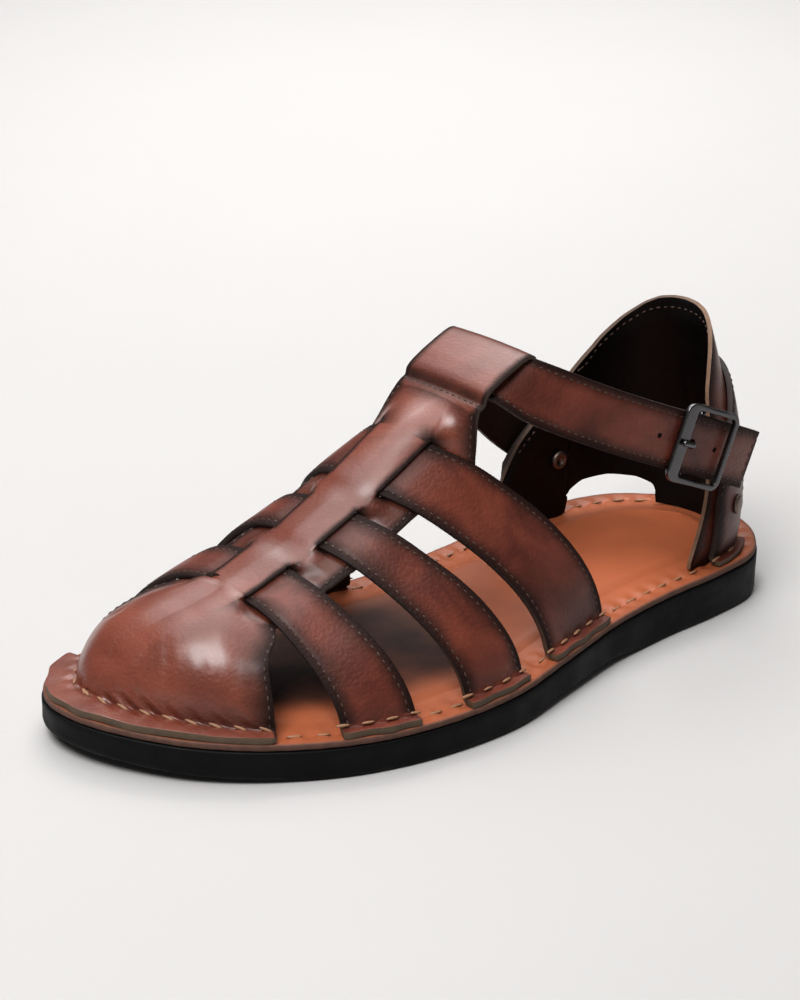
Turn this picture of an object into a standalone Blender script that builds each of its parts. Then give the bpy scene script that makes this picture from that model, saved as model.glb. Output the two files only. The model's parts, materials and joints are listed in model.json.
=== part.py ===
"""Left fisherman sandal: rubber sole, leather footbed, woven strap upper, heel counter and buckle strap.

Shoe sizes are in millimetres: x to the lateral side, s forward from the back of the heel, z up from the floor.
place() turns them into metres, with the toe to -Y, the lateral side to +X and the floor at Z 0.
"""
import math

import bmesh
import bpy
import numpy as np

MM = 0.001
LENGTH = 290.0
TURN_DEG = 5.0
GAP = 0.3

OUTLINE_COLUMNS = ("share", "lateral", "medial")
OUTLINE = (
    (0.000, 0.0, 0.0),
    (0.030, 26.2, -22.0),
    (0.080, 38.3, -35.2),
    (0.160, 42.0, -42.2),
    (0.260, 42.8, -42.6),
    (0.360, 45.8, -41.7),
    (0.460, 52.2, -42.0),
    (0.560, 58.2, -46.4),
    (0.660, 57.4, -52.9),
    (0.760, 50.6, -58.2),
    (0.860, 35.4, -59.6),
    (0.930, 18.0, -55.0),
    (0.975, -1.2, -45.0),
    (1.000, -27.0, -27.0),
)

SOLE_COLUMNS = ("share", "top")
SOLE = (
    (0.0, 15.8), (0.15, 15.6), (0.3, 14.9), (0.45, 13.2),
    (0.6, 11.6), (0.75, 10.8), (0.88, 11.6), (1.0, 14.0),
)
WAIST_LIFT = 2.0
WAIST_RISE = (0.30, 0.37)
WAIST_FALL = (0.48, 0.56)
TOE_SPRING = 5.0
TOE_SPRING_START = 0.78
SOLE_BEVEL = 1.6
SOLE_ROWS = 46

RIM_THICK = 2.2
RIM_INSET = 0.5
GROOVE_INSET = 7.0
GROOVE_HALF = 0.9
GROOVE_DEPTH = 0.6
PAD_START = 15.5
PAD_END = 20.5
PAD_RISE = 1.6

WALL = 2.0
FEATHER = 7.0
FEATHER_TOE = 13.5
FEATHER_SPAN = (228.0, 284.0)
TAB_END = 1.2
BEND = 1.1
STRAP_LIFT = 1.5
STRAP_CROWN = 0.5
DRAPE_LIFT = 0.5
LINE_STEPS = 121
BRIDGE_LIFT = 2.9
WALL_MOST = 2.8
STEP = 0.6
SLIT = 9.2
DRAPE = 5.0
SIDE_COLUMNS = 6
TAB_COLUMNS = 3
CORNER_FILL = 1.3
TOE_POLE = (0.0, 0.8, 0.6)
SWEEP = {"lateral": 1.5, "medial": 2.0}
STRAP_ROUND = {"lateral": 1.75, "medial": 2.5}
CAP_ROUND = {"lateral": 2.3, "medial": 2.3}
CAP_ROWS = 11

RIDGE_COLUMNS = ("s", "x", "z")
RIDGE = (
    (120.0, -2.0, 110.0),
    (145.0, -3.0, 96.5),
    (161.5, -4.0, 85.0),
    (182.0, -4.5, 71.5),
    (205.0, -6.0, 58.0),
    (216.0, -7.5, 52.5),
    (235.5, -9.5, 45.0),
    (246.0, -11.0, 43.8),
    (254.0, -13.5, 41.6),
    (262.0, -17.0, 37.0),
    (269.0, -21.0, 30.0),
    (274.0, -24.5, 22.5),
    (276.5, -27.0, 17.0),
)

EDGE_COLUMNS = ("name", "ridge", "lateral", "medial", "arch", "wing")
EDGES = (
    ("cap rear", 235.5, 249.0, 264.0, 1.5, 23.0),
    ("strap 1 front", 233.0, 230.0, 244.0, 0.0, 23.0),
    ("strap 1 rear", 216.0, 204.0, 226.0, 0.0, 23.0),
    ("strap 2 front", 205.0, 184.0, 212.0, 0.0, 23.0),
    ("strap 2 rear", 190.5, 156.0, 193.0, 0.0, 23.0),
    ("strap 3 front", 182.0, 140.0, 179.0, 1.5, 23.0),
    ("strap 3 rear", 161.5, 106.0, 153.0, 0.5, 27.0),
)
STRAP_SECTION_COLUMNS = ("share", "crown")
STRAP_SECTION = ((0.0, 0.0), (0.12, 0.7), (0.5, 1.0), (0.88, 0.7), (1.0, 0.0))
VAMP_SHARES = (0.3, 0.6, 0.85)

LOOP_COLUMNS = ("s", "outer", "inner")
LOOP = (
    (145.5, 2.0, 0.0),
    (144.2, 3.4, -0.9),
    (141.0, 4.4, -1.8),
    (136.0, 4.8, -2.0),
    (129.0, 4.8, -2.0),
    (123.5, 4.5, -1.8),
    (121.2, 3.6, -1.0),
    (120.2, 2.4, 0.2),
)
LOOP_HALF = 19.5
LOOP_BOW = 0.6
TUNNEL_PLAY = 0.35
TUNNEL_REACH = 27.0

HEEL_COLUMNS = ("z", "half", "back")
HEEL = ((14.0, 31.3, 13.0), (40.0, 32.6, 12.0), (70.0, 29.0, 17.0), (90.0, 24.0, 22.5), (110.0, 18.5, 28.5))
HEEL_CENTRE = 46.0
HEEL_FORWARD = 0.6
HEEL_FLARE = 0.03
HEEL_FOOT = 18.0
LIP_OUT = 0.4
COUNTER_THICK = 2.4
BAND_THICK = 2.0
COUNTER_ROWS = 6
BAND_GAP = 0.45
FOOT = -1.0

COUNTER_COLUMNS = ("turn", "top", "bottom")
COUNTER = (
    (-160.0, 24.0, FOOT),
    (-152.0, 38.0, FOOT),
    (-140.0, 52.0, FOOT),
    (-130.0, 58.5, FOOT),
    (-115.0, 69.0, FOOT),
    (-100.0, 80.0, FOOT),
    (-97.0, 82.0, 23.5),
    (-85.0, 89.0, 28.5),
    (-65.0, 97.0, 30.0),
    (-45.0, 103.0, 28.5),
    (-32.0, 105.5, 25.5),
    (-30.5, 105.8, FOOT),
    (-15.0, 107.0, FOOT),
    (0.0, 107.4, FOOT),
    (15.0, 107.2, FOOT),
    (30.5, 106.2, FOOT),
    (32.0, 106.0, 25.5),
    (42.0, 104.4, 28.5),
    (52.0, 102.0, 29.0),
    (62.0, 98.6, 26.0),
    (63.5, 98.0, FOOT),
    (74.0, 92.5, FOOT),
    (84.0, 84.0, FOOT),
    (88.0, 76.0, FOOT),
    (89.5, 52.0, FOOT),
    (96.0, 36.0, FOOT),
    (103.0, 21.0, FOOT),
)

BAND_COLUMNS = ("turn", "top", "bottom")
BAND = (
    (-146.0, 44.0, FOOT),
    (-140.0, 50.0, FOOT),
    (-130.0, 56.0, FOOT),
    (-115.0, 63.0, FOOT),
    (-98.5, 69.0, FOOT),
    (-97.0, 70.0, 36.0),
    (-80.0, 76.0, 42.0),
    (-55.0, 82.0, 46.0),
    (-25.0, 85.5, 48.0),
    (0.0, 86.5, 48.5),
    (25.0, 85.5, 47.0),
    (45.0, 82.0, 42.0),
    (49.0, 80.5, 38.0),
    (50.5, 80.0, FOOT),
    (62.0, 74.0, FOOT),
    (74.0, 64.0, FOOT),
    (82.0, 54.0, FOOT),
    (87.0, 44.0, FOOT),
)
BAND_TAB = 5.2

STRAP_WIDE = 21.6
STRAP_THICK = 2.2
STRAP_ROWS = 56
STRAP_ACROSS = (-1.0, -0.9, 0.0, 0.9, 1.0)
STRAP_EDGE_THIN = 0.55
PATH_COLUMNS = ("x", "s", "z", "lean")
PATH = (
    (-41.6, 50.0, 40.0, 8.0),
    (-41.6, 62.0, 49.5, 12.0),
    (-38.8, 79.0, 62.5, 22.0),
    (-32.5, 98.0, 78.0, 34.0),
    (-26.8, 118.0, 94.5, 48.0),
    (-18.0, 132.2, 103.8, 60.0),
    (-2.5, 134.0, 104.6, 61.5),
    (13.0, 132.2, 103.8, 60.0),
    (22.0, 122.0, 98.5, 48.0),
    (28.6, 106.0, 90.3, 36.0),
    (33.8, 90.0, 82.8, 28.0),
    (37.0, 74.0, 75.8, 22.0),
    (38.6, 57.0, 68.6, 21.0),
    (38.9, 42.0, 62.0, 21.0),
    (37.6, 28.5, 55.8, 21.0),
)

BUCKLE_AT = (38.4, 59.4, 69.6)
BUCKLE_AHEAD = (37.0, 74.0, 75.8)
BUCKLE_LEAN = 21.0
FRAME_HALF_LONG = 13.6
FRAME_HALF_TALL = 14.4
FRAME_RAIL = 2.9
FRAME_WIDE_BAR = 5.4
FRAME_CORNER = 4.0
FRAME_INNER_CORNER = 1.3
FRAME_EASE = 0.5
FRAME_CORNER_STEPS = 4
FRAME_FRONT = 3.6
FRAME_BAR_BACK = 1.6
FRAME_RAIL_BACK = -3.4
FRAME_DROP = (0.8, 4.0)
PIN_RADIUS = 1.0
PIN_DEPTH = -2.5
PIN_SIDES = 10
PRONG_RADIUS = 1.15
PRONG_SIDES = 8
PRONG_COLUMNS = ("along", "out")
PRONG = ((1.7, -2.6), (3.6, -2.2), (5.0, 1.4), (6.8, 4.5), (9.6, 5.15), (12.8, 5.1))
SLOT_COLUMNS = ("start", "end", "half", "reach")
SLOT = ((1.6, 8.2, 2.1, 4.0),)

RIVET_RADIUS = 3.6
RIVET_THICK = 1.5
RIVET_DOME = 0.6
RIVET_TOP = 0.6
RIVET_SIDES = 14
LATERAL_RIVET = (68.0, 38.5)
MEDIAL_RIVET = (-106.0, 41.0)

COLOURS = {
    "brown_leather": ((0.105, 0.032, 0.018, 1.0), 0.42, 0.0),
    "tan_leather": ((0.33, 0.105, 0.03, 1.0), 0.55, 0.0),
    "black_rubber": ((0.012, 0.012, 0.013, 1.0), 0.62, 0.0),
    "dark_metal": ((0.07, 0.07, 0.075, 1.0), 0.28, 1.0),
}


def column(table, columns, name):
    """One named column of a table as an array."""
    at = columns.index(name)
    return np.array([row[at] for row in table])


def smooth(at, knots, values):
    """Cubic curve through a table's column, with slopes from the neighbouring rows."""
    at = np.asarray(at, float)
    knots = np.asarray(knots, float)
    values = np.asarray(values, float)
    slopes = np.gradient(values, knots)
    i = np.clip(np.searchsorted(knots, at, side="right") - 1, 0, len(knots) - 2)
    step = knots[i + 1] - knots[i]
    t = np.clip((at - knots[i]) / step, 0.0, 1.0)
    low = values[i] * (1 + 2 * t) * (1 - t) ** 2 + values[i + 1] * t * t * (3 - 2 * t)
    return low + step * (slopes[i] * t * (1 - t) ** 2 - slopes[i + 1] * t * t * (1 - t))


def ease(at, span):
    """Smooth step from 0 to 1 over a span."""
    t = np.clip((np.asarray(at, float) - span[0]) / (span[1] - span[0]), 0.0, 1.0)
    return t * t * (3 - 2 * t)


def unit(vectors):
    """Vectors at length one."""
    vectors = np.asarray(vectors, float)
    return vectors / np.maximum(np.linalg.norm(vectors, axis=-1, keepdims=True), 1e-9)


def sweep_angle(s):
    """Angle along the outline, 0 at the heel and pi at the toe, for a length from the heel."""
    return np.arccos(np.clip(1.0 - 2.0 * np.asarray(s, float) / LENGTH, -1.0, 1.0))


def edge(angle, side, inset):
    """Points (x, s) of the sole's outline on one side, moved inward by inset."""
    knots = sweep_angle(column(OUTLINE, OUTLINE_COLUMNS, "share") * LENGTH)
    values = column(OUTLINE, OUTLINE_COLUMNS, side)
    small = 1e-3
    before = np.clip(angle - small, 0.0, math.pi)
    after = np.clip(angle + small, 0.0, math.pi)
    run_x = smooth(after, knots, values) - smooth(before, knots, values)
    run_s = LENGTH / 2 * (np.cos(before) - np.cos(after))
    at_end = (angle < small) | (angle > math.pi - small)
    run_s = np.where(at_end, 0.0, run_s)
    hand = -1.0 if side == "lateral" else 1.0
    inward = unit(np.stack([hand * run_s, -hand * run_x], -1))
    base = np.stack([smooth(angle, knots, values), LENGTH / 2 * (1 - np.cos(angle))], -1)
    return base + inset * inward


def sole_top(s):
    """Height of the outsole's top at a length from the heel."""
    return smooth(s / LENGTH, column(SOLE, SOLE_COLUMNS, "share"), column(SOLE, SOLE_COLUMNS, "top"))


def sole_bottom(s):
    """Height of the outsole's underside: flat heel and forefoot, lifted waist and toe spring."""
    share = s / LENGTH
    waist = WAIST_LIFT * ease(share, WAIST_RISE) * (1.0 - ease(share, WAIST_FALL))
    spring = np.clip((share - TOE_SPRING_START) / (1.0 - TOE_SPRING_START), 0.0, 1.0)
    return waist + TOE_SPRING * spring ** 1.8


def rim_top(s):
    """Height of the insole's stitched rim."""
    return sole_top(s) + GAP + RIM_THICK


def seat(s):
    """Height at which leather lies on the rim."""
    return rim_top(s) + GAP


def turned(points):
    """Shoe sizes turned to the part's axes, still in millimetres and not yet centred."""
    points = np.asarray(points, float)
    angle = math.radians(TURN_DEG)
    y = LENGTH / 2 - points[..., 1]
    x = points[..., 0]
    return np.stack([x * math.cos(angle) - y * math.sin(angle), x * math.sin(angle) + y * math.cos(angle),
                     points[..., 2]], -1)


def outline_centre():
    """Middle of the outline's box, which becomes the part's origin."""
    angle = np.linspace(0.0, math.pi, SOLE_ROWS + 1)
    both = np.concatenate([edge(angle, side, 0.0) for side in ("lateral", "medial")])
    flat = turned(np.concatenate([both, np.zeros((len(both), 1))], 1))
    return (flat.min(0) + flat.max(0)) / 2


CENTRE = outline_centre()


def place(points):
    """Shoe sizes in millimetres to the part's frame in metres."""
    return (turned(points) - CENTRE) * MM


def finish(name, colour, bm):
    """Close a mesh into a named object with its material."""
    bmesh.ops.remove_doubles(bm, verts=bm.verts, dist=2e-6)
    bmesh.ops.dissolve_degenerate(bm, dist=1e-6, edges=bm.edges)
    bmesh.ops.triangulate(bm, faces=bm.faces)
    bmesh.ops.recalc_face_normals(bm, faces=bm.faces)
    mesh = bpy.data.meshes.new(name)
    bm.to_mesh(mesh)
    bm.free()
    thing = bpy.data.objects.new(name, mesh)
    bpy.context.scene.collection.objects.link(thing)
    rgba, rough, metal = COLOURS[colour]
    material = bpy.data.materials.get(colour) or bpy.data.materials.new(colour)
    material.use_nodes = True
    shader = material.node_tree.nodes["Principled BSDF"]
    shader.inputs["Base Color"].default_value = rgba
    shader.inputs["Roughness"].default_value = rough
    shader.inputs["Metallic"].default_value = metal
    material.diffuse_color = rgba
    mesh.materials.append(material)
    return thing


def loft(name, colour, rings, closed=False):
    """Solid through closed rings of points: the ends are capped, or joined when closed."""
    rings = np.asarray(rings, float)
    rows, around = rings.shape[:2]
    points = place(rings.reshape(-1, 3))
    bm = bmesh.new()
    verts = [bm.verts.new(p) for p in points]
    steps = rows if closed else rows - 1
    for i in range(steps):
        for j in range(around):
            k = (j + 1) % around
            low, high = i * around, ((i + 1) % rows) * around
            bm.faces.new((verts[low + j], verts[low + k], verts[high + k], verts[high + j]))
    if not closed:
        bm.faces.new(verts[:around][::-1])
        bm.faces.new(verts[-around:])
    return finish(name, colour, bm)


def sheet(name, colour, outer, inner, keep, joined=False):
    """Solid wall between an outer and an inner grid, over the kept cells; joined folds the first row shut."""
    rows, cols = outer.shape[:2]
    top = place(outer.reshape(-1, 3))
    low = place(inner.reshape(-1, 3))
    bm = bmesh.new()
    used = {}

    def vert(side, i, j):
        key = (side, i, j)
        if key not in used:
            used[key] = bm.verts.new((top if side else low)[i * cols + j])
        return used[key]

    def kept(i, j):
        if joined and i < 0:
            return True
        return 0 <= i < rows - 1 and 0 <= j < cols - 1 and keep[i, j]

    for i in range(rows - 1):
        for j in range(cols - 1):
            if not keep[i, j]:
                continue
            corners = ((i, j), (i + 1, j), (i + 1, j + 1), (i, j + 1))
            bm.faces.new([vert(1, *c) for c in corners])
            bm.faces.new([vert(0, *c) for c in corners[::-1]])
            beyond = (kept(i, j - 1), kept(i + 1, j), kept(i, j + 1), kept(i - 1, j))
            for side, covered in enumerate(beyond):
                if covered:
                    continue
                a, b = corners[side], corners[(side + 1) % 4]
                bm.faces.new((vert(1, *b), vert(1, *a), vert(0, *a), vert(0, *b)))
    return finish(name, colour, bm)


def across(angle, inset, shares):
    """Points (x, s) on rungs between the two sides of the outline."""
    lateral = edge(angle, "lateral", inset)
    medial = edge(angle, "medial", inset)
    return [lateral + (medial - lateral) * share for share in shares]


def with_height(points, height):
    """Points (x, s) with their heights added."""
    return np.concatenate([points, np.broadcast_to(height, points.shape[:1])[:, None]], 1)


def make_outsole():
    """Rubber sole with bevelled foot, lifted waist and toe spring."""
    angle = np.linspace(0.0, math.pi, SOLE_ROWS + 1)
    shares = (0.0, 0.25, 0.5, 0.75, 1.0)
    top = [with_height(p, sole_top(p[:, 1])) for p in across(angle, 0.0, shares)]
    foot = [with_height(p, sole_bottom(p[:, 1])) for p in across(angle, SOLE_BEVEL, shares)]
    side = [with_height(p, sole_bottom(p[:, 1]) + SOLE_BEVEL) for p in across(angle, 0.0, (0.0, 1.0))]
    ring = top + [side[1]] + foot[::-1] + [side[0]]
    return loft("outsole", "black_rubber", np.stack(ring, 1))


def make_insole():
    """Leather footbed: stitched rim with its groove, and the raised pad."""
    angle = np.linspace(0.0, math.pi, SOLE_ROWS + 1)
    steps = (
        (RIM_INSET, 0.0),
        (GROOVE_INSET - GROOVE_HALF, 0.0),
        (GROOVE_INSET, -GROOVE_DEPTH),
        (GROOVE_INSET + GROOVE_HALF, 0.0),
        (PAD_START, 0.0),
        (PAD_END, PAD_RISE),
    )

    def half(side):
        found = []
        for inset, rise in steps:
            p = edge(angle, side, inset)
            found.append(with_height(p, rim_top(p[:, 1]) + rise))
        return found

    middle = across(angle, PAD_END, (0.25, 0.5, 0.75))
    top = [with_height(p, rim_top(p[:, 1]) + PAD_RISE) for p in middle]
    under = across(angle, RIM_INSET, (1.0, 0.75, 0.5, 0.25, 0.0))
    base = [with_height(p, sole_top(p[:, 1]) + GAP) for p in under]
    return loft("insole", "tan_leather", np.stack(half("lateral") + top + half("medial")[::-1] + base, 1))


def ridge_point(s):
    """Point of the last's ridge at a length from the heel."""
    knots = column(RIDGE, RIDGE_COLUMNS, "s")
    return np.array([smooth(s, knots, column(RIDGE, RIDGE_COLUMNS, "x")), s,
                     smooth(s, knots, column(RIDGE, RIDGE_COLUMNS, "z"))])


def feather(angle):
    """Distance from the sole's edge to the foot of the upper's wall, wider round the toe."""
    span = [float(sweep_angle(s)) for s in FEATHER_SPAN]
    return FEATHER + (FEATHER_TOE - FEATHER) * float(ease(angle, span))


def near_columns(wing):
    """Distances from the ridge of the columns over the spine: bridge, slit and wing."""
    return np.array([0.0, SLIT / 2, SLIT, SLIT + STEP, (SLIT + wing) / 2, wing])


def half_row(ridge_s, base_s, side, roundness, arch, wing):
    """Points from the ridge to the tab's end on one side of the last, at the weave's own distances."""
    top = ridge_point(ridge_s)
    angle = np.array([float(sweep_angle(base_s))])
    foot = feather(angle[0])
    base = edge(angle, side, foot)[0]
    floor = seat(base[1])
    w = np.linspace(0.0, 1.0, LINE_STEPS) * math.pi / 2
    out = np.sin(w) ** (2 / roundness)
    up = np.clip(np.cos(w), 0.0, 1.0) ** (2 / roundness)
    rise = arch * np.sin(math.pi * np.sqrt(w / w[-1])) ** 2
    line = np.stack([top[0] + (base[0] - top[0]) * out, top[1] + (base[1] - top[1]) * out ** SWEEP[side],
                     floor + (top[2] - floor) * up + rise], -1)
    run = np.concatenate([[0.0], np.cumsum(np.linalg.norm(np.diff(line, axis=0), axis=1))])
    drape = wing + DRAPE
    near = np.append(near_columns(wing), drape) * min(1.0, run[-1] / (2 * drape))
    far = near[-1] + (run[-1] - near[-1]) * np.arange(1, SIDE_COLUMNS + 1) / SIDE_COLUMNS
    at = np.concatenate([near, far])
    found = np.stack([np.interp(at, run, line[:, k]) for k in range(3)], -1)
    tab = [edge(angle, side, inset)[0] for inset in (foot - BEND, (foot + TAB_END) / 2, TAB_END)]
    flat = np.array([[p[0], p[1], seat(p[1])] for p in tab])
    return np.concatenate([found, flat])


def full_row(sizes, roundness):
    """One row across the upper, from the lateral tab over the ridge to the medial tab, arched there."""
    ridge_s, lateral_s, medial_s, arch, wing = sizes
    lateral = half_row(ridge_s, lateral_s, "lateral", roundness["lateral"], 0.0, wing)
    medial = half_row(ridge_s, medial_s, "medial", roundness["medial"], arch, wing)
    return np.concatenate([lateral[::-1], medial[1:]])


def edge_sizes():
    """The edges' table by name, each as ridge, lateral, medial, arch and wing."""
    sizes = np.stack([column(EDGES, EDGE_COLUMNS, key) for key in EDGE_COLUMNS[1:]], -1)
    return dict(zip(column(EDGES, EDGE_COLUMNS, "name"), sizes))


def toward_toe(s, share):
    """A length from the heel moved toward the toe by a share of the outline's sweep."""
    angle = sweep_angle(s)
    return LENGTH / 2 * (1.0 - math.cos(angle + (math.pi - angle) * share))


def upper_rows():
    """Rows of the last's surface under the upper, each with its kind, its share of the rise and its crown."""
    places = edge_sizes()
    ahead = np.array([STEP, STEP, STEP, 0.0, 0.0])
    rows, kinds, lifts, crowns = [], [], [], []

    def add(sizes, roundness, kind, lift=0.0, crown=0.0):
        rows.append(full_row(sizes, roundness))
        kinds.append(kind)
        lifts.append(lift)
        crowns.append(crown)

    ridge_s, lateral_s, medial_s, arch, wing = places["cap rear"]
    tip = LENGTH - FEATHER_TOE
    for k in range(CAP_ROWS, -1, -1):
        t = k / CAP_ROWS
        ridge = ridge_s + (tip - ridge_s) * math.sin(math.pi / 2 * t)
        sizes = (ridge, toward_toe(lateral_s, t), toward_toe(medial_s, t), arch * (1.0 - t), wing)
        add(sizes, CAP_ROUND, "cap" if k else "gap")
    before = places["cap rear"]
    for number in (1, 2, 3):
        front = places["strap %d front" % number]
        rear = places["strap %d rear" % number]
        if number > 1:
            add((before + front) / 2, STRAP_ROUND, "gap")
        add(front + ahead, STRAP_ROUND, "gap")
        for share, crown in STRAP_SECTION:
            add(front + (rear - front) * share, STRAP_ROUND, "strap" if share < 1.0 else "gap", 1.0, crown)
        add(rear - ahead, STRAP_ROUND, "gap")
        before = rear
    return rows, kinds, lifts, crowns


def loop_row(s):
    """A straight row across the instep loop; the columns past the loop's sides fold onto them."""
    top = ridge_point(s)
    near = near_columns(edge_sizes()["strap 3 rear"][-1])
    out = np.concatenate([near * LOOP_HALF / near[-1], np.full(1 + SIDE_COLUMNS + TAB_COLUMNS, LOOP_HALF)])
    bow = LOOP_BOW * (out / LOOP_HALF) ** 2
    lateral = np.stack([top[0] + out, np.full(len(out), s), top[2] - bow], -1)
    medial = lateral * (-1, 1, 1) + (2 * top[0], 0, 0)
    return np.concatenate([lateral[::-1], medial[1:]])


def grid_normals(grid):
    """Unit normals of a grid of points, pointing out of the last."""
    along = np.gradient(grid, axis=0)
    over = np.gradient(grid, axis=1)
    return unit(np.cross(over, along))


def make_upper():
    """Toe cap, spine, wings, loop and straps as one wall with its strips raised."""
    rows, kinds, lifts, crowns = upper_rows()
    last_strap = rows[-1]
    loop_rows = [loop_row(s) for s in column(LOOP, LOOP_COLUMNS, "s")]
    rows += [last_strap + (loop_rows[0] - last_strap) * share for share in VAMP_SHARES]
    first = len(rows)
    surface = np.stack(rows + loop_rows)
    count, cols = surface.shape[:2]
    kinds += ["gap"] * (count - len(kinds))
    lifts += [0.0] * (count - len(lifts))
    crowns += [0.0] * (count - len(crowns))
    middle = cols // 2
    normals = grid_normals(surface)
    from_ridge = np.abs(np.arange(cols) - middle)
    slit_at = 2
    wing_at = 5
    base_at = wing_at + 1 + SIDE_COLUMNS
    normals[:, from_ridge > base_at] = (0.0, 0.0, 1.0)
    normals[0, from_ridge <= base_at] = unit(TOE_POLE)
    for i in range(first - len(VAMP_SHARES), count):
        past = from_ridge > wing_at
        normals[i, past & (np.arange(cols) < middle)] = normals[i, middle - wing_at]
        normals[i, past & (np.arange(cols) > middle)] = normals[i, middle + wing_at]
    outer = np.full((count, cols), WALL)
    inner = np.zeros((count, cols))
    lift = np.array(lifts)[:, None]
    crown = STRAP_CROWN * np.array(crowns)[:, None]
    bridge = (from_ridge <= slit_at)[None, :]
    wing = ((from_ridge > slit_at) & (from_ridge <= wing_at))[None, :]
    drape = (from_ridge == wing_at + 1)[None, :]
    side = ((from_ridge > slit_at) & (from_ridge < base_at))[None, :]
    outer = outer + np.where(bridge, BRIDGE_LIFT * lift, 0.0)
    outer = outer + np.where(wing, STRAP_LIFT * lift, 0.0)
    outer = outer + np.where(drape, DRAPE_LIFT * STRAP_LIFT * lift, 0.0)
    outer = outer + np.where(side | bridge, crown, 0.0)
    inner = np.maximum(inner, outer - WALL_MOST)
    outer[first:] = column(LOOP, LOOP_COLUMNS, "outer")[:, None]
    inner[first:] = column(LOOP, LOOP_COLUMNS, "inner")[:, None]
    corner = (from_ridge == base_at)[None, :] & (np.arange(count) > 0)[:, None]
    outer = np.where(corner, WALL * CORNER_FILL, outer)
    outer[0, from_ridge <= base_at] = WALL * CORNER_FILL
    keep = np.zeros((count - 1, cols - 1), bool)
    cell = np.minimum(from_ridge[:-1], from_ridge[1:])
    for i in range(count - 1):
        keep[i] = True if kinds[i] in ("cap", "strap") else cell < wing_at
    upper = sheet("upper", "brown_leather", surface + normals * outer[..., None],
                  surface + normals * inner[..., None], keep, joined=True)
    cut_loop(upper)
    return upper


def cut_loop(upper):
    """Cut the instep loop's tunnel, the ankle strap's own shape with some play."""
    line, along, up, out = strap_frames()
    half_wide = STRAP_WIDE / 2 + TUNNEL_PLAY
    half_thick = STRAP_THICK / 2 + TUNNEL_PLAY
    inside = np.nonzero(np.abs(line[:, 0]) < TUNNEL_REACH)[0]
    inside = inside[line[inside, 1] > HEEL_CENTRE + TUNNEL_REACH]
    corners = ((-1, -1), (1, -1), (1, 1), (-1, 1))
    rings = [[line[k] + up[k] * a * half_wide + out[k] * b * half_thick for a, b in corners] for k in inside]
    subtract(upper, loft("loop_cutter", "dark_metal", rings))


def subtract(thing, cutter):
    """Take one solid out of another and drop the cutter."""
    cutter.hide_render = True
    cutter.display_type = "WIRE"
    tool = thing.modifiers.new("cut", "BOOLEAN")
    tool.operation = "DIFFERENCE"
    tool.solver = "EXACT"
    tool.object = cutter
    graph = bpy.context.evaluated_depsgraph_get()
    cut = bpy.data.meshes.new_from_object(thing.evaluated_get(graph))
    thing.modifiers.remove(tool)
    old = thing.data
    thing.data = cut
    cut.name = thing.name
    bpy.data.meshes.remove(old)
    bpy.data.objects.remove(cutter)


def heel_point(turn, z, out):
    """Point of the heel's wall at a turn from the back, positive to the lateral side, moved outward."""
    z_knots = column(HEEL, HEEL_COLUMNS, "z")
    half = smooth(z, z_knots, column(HEEL, HEEL_COLUMNS, "half"))
    back = smooth(z, z_knots, column(HEEL, HEEL_COLUMNS, "back"))
    hand = np.sign(turn)
    round_turn = np.radians(np.clip(np.abs(turn), 0.0, 90.0))
    forward = HEEL_FORWARD * np.maximum(np.abs(turn) - 90.0, 0.0)
    x = hand * ((half + out) * np.sin(round_turn) + HEEL_FLARE * forward)
    s = HEEL_CENTRE - (HEEL_CENTRE - back + out) * np.cos(round_turn) + forward
    return np.stack([x, s, z], -1)


def heel_wall(table, columns, near, thick, tab):
    """Outer and inner grids of a wall round the heel, with tab rows when a tab length is given."""
    turn = column(table, columns, "turn")
    both = (column(COUNTER, COUNTER_COLUMNS, "turn"), column(BAND, BAND_COLUMNS, "turn"))
    fine = np.unique(np.concatenate(both))
    fine = fine[(fine >= turn[0]) & (fine <= turn[-1])]
    high = np.interp(fine, turn, column(table, columns, "top"))
    given = np.interp(fine, turn, column(table, columns, "bottom"))
    feet = heel_point(fine, np.full(len(fine), HEEL_FOOT), near)
    floor = seat(feet[:, 1])
    low = np.where(given < 0, floor, np.maximum(given, floor))
    grids = []
    for out in (near + thick, near):
        rows = [heel_point(fine, low + (high - low) * k / (COUNTER_ROWS - 1), out) for k in range(COUNTER_ROWS)]
        if tab:
            lip = thick if out > near else 0.0
            rows[0] = heel_point(fine, low + lip, out + LIP_OUT * lip)
            for reach in (0.5 * tab, tab):
                flat = heel_point(fine, low, near + reach)
                flat[:, 2] = seat(flat[:, 1]) + lip
                rows.insert(0, flat)
        grids.append(np.stack(rows, 0))
    return fine, given, grids[0], grids[1]


def make_heel_counter():
    """Inner wall round the heel, with cut-outs above the footbed."""
    fine, given, outer, inner = heel_wall(COUNTER, COUNTER_COLUMNS, 0.0, COUNTER_THICK, 0.0)
    keep = np.ones((outer.shape[0] - 1, outer.shape[1] - 1), bool)
    return sheet("heel_counter", "brown_leather", outer, inner, keep)


def make_heel_band():
    """Outer band round the heel, with a leg and tab on each side."""
    near = COUNTER_THICK + BAND_GAP
    fine, given, outer, inner = heel_wall(BAND, BAND_COLUMNS, near, BAND_THICK, BAND_TAB)
    keep = np.ones((outer.shape[0] - 1, outer.shape[1] - 1), bool)
    on_foot = (given[:-1] < 0) & (given[1:] < 0)
    keep[:2] = on_foot[None, :]
    return sheet("heel_band", "brown_leather", outer, inner, keep)


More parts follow.
